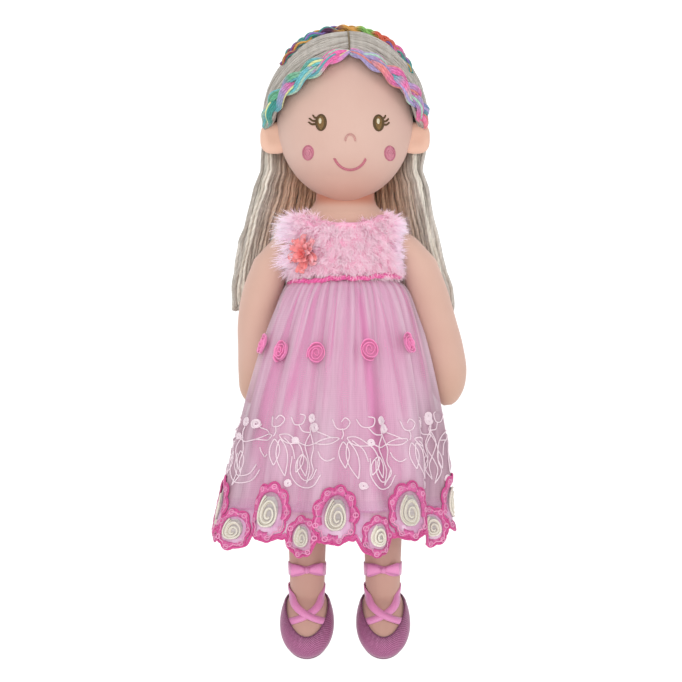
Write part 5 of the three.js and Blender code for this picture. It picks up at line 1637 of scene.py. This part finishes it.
# Painted light and shade: the net is denser on the ridges and in the streaks of the gathers and thinner in the deep
# folds, so the ridges read lighter and the folds darker. It is also denser towards the sides.
cover = 0.75 + 0.5 * ridge(turn, depth) + 0.45 * gathers(turn, depth)
cover = cover * (1 - 0.8 * valley(turn, depth))
cover = cover + 1.1 * eased((np.abs(np.cos(turn)) - 0.78) / 0.2) * eased((depth - 60) / 60)
net_skirt = skirt_sheet("net_skirt", polyester_net, turn, depth, 0.0, cover[..., None] * np.ones(3), NET_LENGTH + 8)
dress_piece(net_skirt, "tulle", "tulle_skirt")

# %% [markdown]
# ## White embroidery
# A garland is embroidered on the net in shiny white thread: outlined leaves, scrolls and small filled buds.
# The same drawing comes again and again round the skirt, every third one mirrored. Each line is drawn flat in
# millimetres, then bent onto the skirt as a raised thread.

# %% Embroider the net
GARLANDS = 8
WHITE_LINE = 0.5


def on_skirt(turn, depth, flat, proud):
    """Bends flat (across, down) millimetres onto the skirt round a middle turn and depth."""
    flat = np.asarray(flat, float)
    scale = float(np.linalg.norm(skirt_place(turn, depth)[:2] - [skirt_centre(depth), 0]))
    return skirt_place(turn + flat[..., 0] / scale, depth + flat[..., 1], proud)


def curve(keys, count=26):
    """A smooth flat curve through a few points."""
    keys = np.array(keys, float)
    return smooth_rows(run_along(keys), keys, count)


def almond(base, tip, width, count=26):
    """Two curved sides of an outlined leaf from its base to its tip."""
    base, tip = np.array(base, float), np.array(tip, float)
    aim = tip - base
    side = np.array([-aim[1], aim[0]]) / np.linalg.norm(aim)
    t = np.linspace(0, 1, count)[:, None]
    bow = np.sin(math.pi * t ** 0.85) * width / 2
    return [base + aim * t + side * bow, base + aim * t - side * bow]


def curl(centre, radius, start, turns, count=26):
    """A flat coil that winds inwards. Three of them fill a bud."""
    t = np.linspace(0, 1, count)
    angle = start + TURN * turns * t
    reach = radius * (1 - 0.8 * t)
    return np.array(centre) + np.stack([reach * np.cos(angle), reach * np.sin(angle)], -1)


# One repeat, across from -36 to 38 and down from -28 to 27: leaves with a base, tip and width, then scrolls.
LEAVES = [((2, -9), (4.5, 11), 8.0), ((6, -9), (14, 19), 8.5), ((5, -12), (21, -6), 6.0),
          ((-1, -11.5), (-18, -8), 4.5), ((-28, 1), (-24, 17), 6.0), ((26, 2), (22, 16), 5.0)]
SCROLLS = [[(9, -10), (17, -3), (20, 6)], [(-4, 3), (-9, 5), (-13, 2), (-15, -2)],
           [(-7, -26), (-3, -19), (4, -19), (7, -24), (3, -27), (0, -24)], [(1, -19), (2, -14), (0.7, -11)],
           [(-17, -17), (-12, -15), (-6, -12)], [(-33, -9), (-26, -6), (-18, -8)],
           [(-35, 2), (-34, 17), (-27, 25), (-17, 24), (-12, 15)],
           [(-31, 3), (-30, 14), (-25, 20), (-19, 19), (-15, 11)],
           [(31, -14), (27, -5), (31, 5), (34, 12), (32, 24)], [(31, -14), (36, -3), (35, 7), (38, 14), (32, 24)],
           [(31, -21), (30, -18), (31, -14)], [(12, -26), (17, -20), (23, -21), (24, -27), (20, -28)],
           [(20, -20), (24, -15), (31, -14)], [(18, -9), (23, -4), (26, 2)]]
BUDS = [((-20, -20), 3.6), ((31, -25), 3.4), ((-34, -10), 2.6), ((17, 24), 2.8)]
garland = [line for leaf in LEAVES for line in almond(*leaf)] + [curve(scroll) for scroll in SCROLLS]
garland += [curl(centre, radius, k * math.pi / 2, 1.6) for centre, radius in BUDS for k in range(3)]
garland_paths = []
for i in range(GARLANDS):
    turn = FRONT + TURN * (i + 0.04) / GARLANDS
    flip = [1.0 if i % 3 < 2 else -1.0, 1.0]
    garland_paths.append(on_skirt(turn, 133.0 + 2 * math.sin(2.4 * i), np.array(garland) * flip, 0.5))
white_rayon = thread_material("white_rayon_thread", 0.35, 2, 2.6, 0.12, relief=0.08)
embroidery = thread_piece("net_embroidery", np.concatenate(garland_paths), WHITE_LINE, white_rayon,
                          linear("#f3dfe8"), sides=5)
dress_piece(embroidery, "tulle")
print("embroidery:", GARLANDS * len(garland), "lines")

# %% [markdown]
# ## Lace border
# The hem is a wide embroidered lace. Large and small medallions take turns: a ring of lobes in satin stitch,
# corded at its edge and with an eyelet in each lobe, holds a rose wound from thick cream thread. Fine lilac net
# carries them, and two cords follow the scalloped edge with short stitches between them.

# %% Make the lace net
SCALLOPS = 20
SCALLOP_DEPTH, SCALLOP_STEP = 9.0, 9.0
DRAWN_AT = [-1.6, -0.94, -0.63, -0.31, 0, 0.31, 0.63, 0.94, 1.3, 1.7, 2.3]
DRAWN_BY = [0, -0.1, -0.045, 0, 0.02, 0.12, 0.15, 0.25, 0.22, 0.12, 0]


def drawn_round(turn):
    """The folds draw the medallions round, each by its own amount: read at its even place from the front."""
    from_front = -np.arctan2(np.cos(turn + math.pi), -np.sin(turn))
    return np.interp(from_front, DRAWN_AT, DRAWN_BY)


def hem_depth(turn):
    """How far down the lace reaches: large scallops end higher than the small ones between them."""
    even = np.linspace(-math.pi, math.pi, 721) + FRONT
    from_front = np.mod(turn + 1.5 * math.pi, TURN) - math.pi
    turn_even = np.interp(from_front, even + drawn_round(even) - FRONT, even)
    phase = (turn_even - FRONT) / TURN * SCALLOPS + 0.5
    across = phase - np.floor(phase)
    small = np.floor(phase) % 2
    round_edge = np.sin(math.pi * across) ** 0.6
    blend = eased(np.minimum(across, 1 - across) / 0.2)
    step = small * blend + 0.5 * (1 - blend)
    return SKIRT_LENGTH + SCALLOP_STEP * step + SCALLOP_DEPTH * (round_edge - 1) - side_lift(turn)


def side_lift(turn):
    """The hem hangs a little higher at the sides than in front."""
    return 4.5 * np.cos(turn) ** 2 * np.clip(1 - np.sin(turn), 0, 1)


lace_net = net_material("lace_net", "#d8a6c8", "#d8a6c8", 0.7, 0.95, 2.2)
turn = (np.arange(720) * TURN / 720)[None, :]
share = np.linspace(0, 1, 16)[:, None]
depth = (NET_LENGTH + 0.3) * (1 - share) + hem_depth(turn) * share
cover = eased(share * 2.2)[..., None] * np.ones((16, 720, 3)) * 0.9 + 0.1
lace_base = skirt_sheet("lace_border_net", lace_net, turn, depth, 0.35, cover, 40.0)
dress_piece(lace_base, "lace", "lace_border")

# %% Embroider the lace
lace_rayon = thread_material("lace_rayon_thread", 0.4, 2, 2.4, 0.25, relief=0.1)
HOT, DEEP_ROSE, SOFT, CREAM_THREAD, SAGE = "#e66cab", "#d94c93", "#f4a3cb", "#f3ebdd", "#d3c9c8"


def lobed(half, lobes, bulge, count, start=0.0):
    """A ring of lobes round an oval, flat, with its angles."""
    angle = start + np.linspace(0, TURN, count)
    swell = 1 + bulge * (np.abs(np.cos(lobes * (angle - start) / 2)) ** 0.8 - 0.5)
    return angle, np.stack([half[0] * swell * np.cos(angle), half[1] * swell * np.sin(angle)], -1)


def stitched_ring(turn, depth, inner, outer, lift=0.9):
    """Arched satin stitches from an inner ring of points to an outer one."""
    t = np.linspace(0, 1, 5)[None, :, None]
    flat = inner[:, None] * (1 - t) + outer[:, None] * t
    return on_skirt(turn, depth, flat, 0.9 + lift * np.sin(math.pi * t[..., 0]))


def rose_line(half, turns, count=70):
    """A rose wound outwards from its heart, a little squared and off centre as a thread rose is."""
    t = np.linspace(0, 1, count)
    angle = TURN * turns * t + 0.6
    reach = 0.12 + 0.88 * t ** 0.9
    wobble = 1 + 0.07 * np.sin(3 * angle) * t
    x = half[0] * reach * wobble * np.cos(angle) + 0.1 * half[0] * (1 - t)
    y = half[1] * reach * wobble * np.sin(angle) + 0.22 * half[1] * (1 - t)
    return np.stack([x, y], -1)


def medallion(turn, depth, half, rose_half, lobes):
    """One medallion as parts for join_parts: stitched lobes, cords, eyelets and the rose."""
    made = []

    def add(paths, radius, colour, sides=5):
        shade = np.repeat(rng.uniform(0.84, 1.06, len(paths)), paths.shape[1] * sides)[:, None]
        made.append((*threads(paths, radius, sides=sides), np.clip(np.array(linear(colour)) * shade, 0, 1)))

    count = int(TURN * np.mean(half) / 0.62)
    angle, outer = lobed(half, lobes, 0.16, count)
    inner = np.stack([rose_half[0] * 1.28 * np.cos(angle), rose_half[1] * 1.2 * np.sin(angle)], -1)
    gap = np.abs(np.cos(lobes * angle / 2)) < 0.12
    keep = ~gap & (np.cos(angle - 0.9) <= 0.86) & (np.cos(angle - 2.4) <= 0.95)
    add(stitched_ring(turn, depth, inner[keep], outer[keep]), 0.42, HOT)
    _, edge = lobed(half, lobes, 0.16, 160)
    add(on_skirt(turn, depth, edge[None], 1.5), 0.8, DEEP_ROSE, 6)
    add(on_skirt(turn, depth, edge[None] * 0.86, 1.6), 0.55, SOFT, 6)
    middles = ring_points((0, 0), (half[0] * 0.93, half[1] * 0.93), 0, 360, lobes + 1)[:-1]
    add(on_skirt(turn, depth, np.array([ring_points(at, (1.7, 1.7), 0, 360, 20) for at in middles]), 2.0), 0.55, SOFT)
    fill_at = np.arange(-rose_half[1] * 0.9, rose_half[1] * 0.9, 0.75)
    reach = rose_half[0] * 0.9 * np.sqrt(1 - (fill_at / rose_half[1]) ** 2)
    left, right = np.stack([-reach, fill_at], -1), np.stack([reach, fill_at], -1)
    add(stitched_ring(turn, depth, left, right, 0.2), 0.5, SAGE)
    winding = rose_line(rose_half, 2.6)[None]
    add(on_skirt(turn, depth, winding, 2.1), 0.85, CREAM_THREAD, 6)
    add(on_skirt(turn, depth, winding * 0.86 + [0.3, 0.2], 1.7), 0.6, "#eadfce")
    return made


# Each: depth below the waist, half sizes of the lobes and of the rose, number of lobes.
LARGE_MEDALLION = (179.0, (15.4, 21.0), (8.0, 12.6), 9)
SMALL_MEDALLION = (195.5, (11.8, 14.6), (6.8, 8.2), 7)
lace_parts = []
for i in range(SCALLOPS):
    turn = FRONT + TURN * i / SCALLOPS
    turn = turn + float(drawn_round(turn))
    depth, *form = SMALL_MEDALLION if i % 2 else LARGE_MEDALLION
    lace_parts += medallion(turn, depth - side_lift(turn), *form)
edge_turn = np.linspace(FRONT, 1.5 * math.pi, 900)
edge_low = hem_depth(edge_turn)
for inset, radius, colour in ((0.4, 0.85, DEEP_ROSE), (3.6, 0.6, HOT)):
    edge_cord = skirt_place(edge_turn, edge_low - inset, 1.0)[None]
    lace_parts.append((*threads(edge_cord, radius), linear(colour)))
rib_turn = np.linspace(FRONT, 1.5 * math.pi, 760)[:-1]
t = np.linspace(0, 1, 4)[None, :]
rib_depth = hem_depth(rib_turn)[:, None] - 0.4 - 3.2 * t
rib_paths = skirt_place(rib_turn[:, None] + 0.004 * t, rib_depth, 0.8 + 0.4 * np.sin(math.pi * t))
lace_parts.append((*threads(rib_paths, 0.42, sides=5), linear(HOT)))
dress_piece(joined_piece("lace_border_stitches", lace_parts, lace_rayon), "lace")

# %% [markdown]
# ## Skirt roses
# A row of small roses is sewn on the net. Each is one strip of soft ribbon, wound in a loose coil and pressed
# flat, so its bright edges make a C shaped swirl. The strip is built upright along a spiral, taller and leaning
# outwards at the rim.

# %% Wind the roses
# Each: share of the way round from the front, mm below the row, degrees that its fold turns it.
ROSES = [(-0.188, -3.5, -28), (-0.1425, 1.2, 0), (-0.0586, 2.8, 0), (0.063, -0.9, 0), (0.15, -5.0, 30),
         (0.33, 0, 0), (0.415, 0, 0), (0.5, 0, 0), (-0.415, 0, 0), (-0.33, 0, 0)]
ROSE_DEPTH, ROSE_TALL = 55.0, 1.14
rose_ribbon = ribbon_material("rose_ribbon", "#f79fcc", "#e56aab", 0.45)


def wound_rose(number, turn, lower, yaw):
    """A rose on the skirt, sewn lower than the row by some mm and turned by yaw degrees as its fold turns it."""
    depth = ROSE_DEPTH + lower
    place = skirt_place(turn, depth, 0.2)
    low, high = skirt_place(turn, depth + 7, 0.0), skirt_place(turn, depth - 7, 0.0)
    up = unit(high - low)
    beside = unit(skirt_place(turn + 0.05, depth, 0.0) - skirt_place(turn - 0.05, depth, 0.0))
    out = np.cross(beside, up)
    out = out if out @ np.array([math.cos(turn), math.sin(turn), 0]) > 0 else -out
    fold = skirt_place(turn + np.linspace(-0.1, 0.1, 9), np.full(9, depth), 0.0) - place
    place = place + 0.7 * max(0.0, (fold @ out).max()) * out
    yaw = math.radians(yaw)
    beside, out = math.cos(yaw) * beside - math.sin(yaw) * out, math.cos(yaw) * out + math.sin(yaw) * beside
    place = place + 4.0 * abs(math.sin(yaw)) * out

    def in_place(rows, lift=0.0):
        return place + rows[..., :1] * beside + rows[..., 1:2] * up + (rows[..., 2:] + lift) * out

    spin = rng.uniform(0, TURN)
    t = np.linspace(0, 1, 110)[:, None]
    angle = spin + TURN * 3.1 * t
    reach = 0.7 + 6.1 * t ** 0.85 + 0.35 * np.sin(2.5 * angle)
    levels = np.linspace(0, 1, 5)[None, :]
    lean = reach + (0.3 + 1.0 * t) * levels
    tall = (3.9 - 1.2 * t) * levels + 0.35 * np.sin(7 * angle) * levels
    outer, inner = (np.stack([reach * np.cos(angle), reach * np.sin(angle) * ROSE_TALL, tall], -1)
                    for reach in (lean, lean - 0.45))
    # Painted shade and highlight: the strip is painted darker towards the skirt and lighter at its top edge, for the
    # shade inside the coil and the light on its edges.
    shade = np.clip(0.62 + 0.5 * levels, 0, 1.1)
    shade = np.concatenate([shade, shade[:, ::-1]], 1)[..., None]
    coil = folded_part(in_place(np.concatenate([outer, inner[:, ::-1]], 1)), 0.9, shade)
    # Painted shade: the flat base under the coil is a darker copy of the ribbon.
    base = plain_part(in_place(ball_rings(np.array([6.9, 7.7, 1.4]), 10, 24), 0.6), 0.7)
    rose = joined_piece(f"wound_rose_{number}", [coil, base], rose_ribbon)
    sew_on(rose, "torso", "rose_ribbon", f"rosette_{number}")


for number, (share, lower, yaw) in enumerate(ROSES, 1):
    wound_rose(number, share * TURN + FRONT, lower, yaw)
print("roses wound")
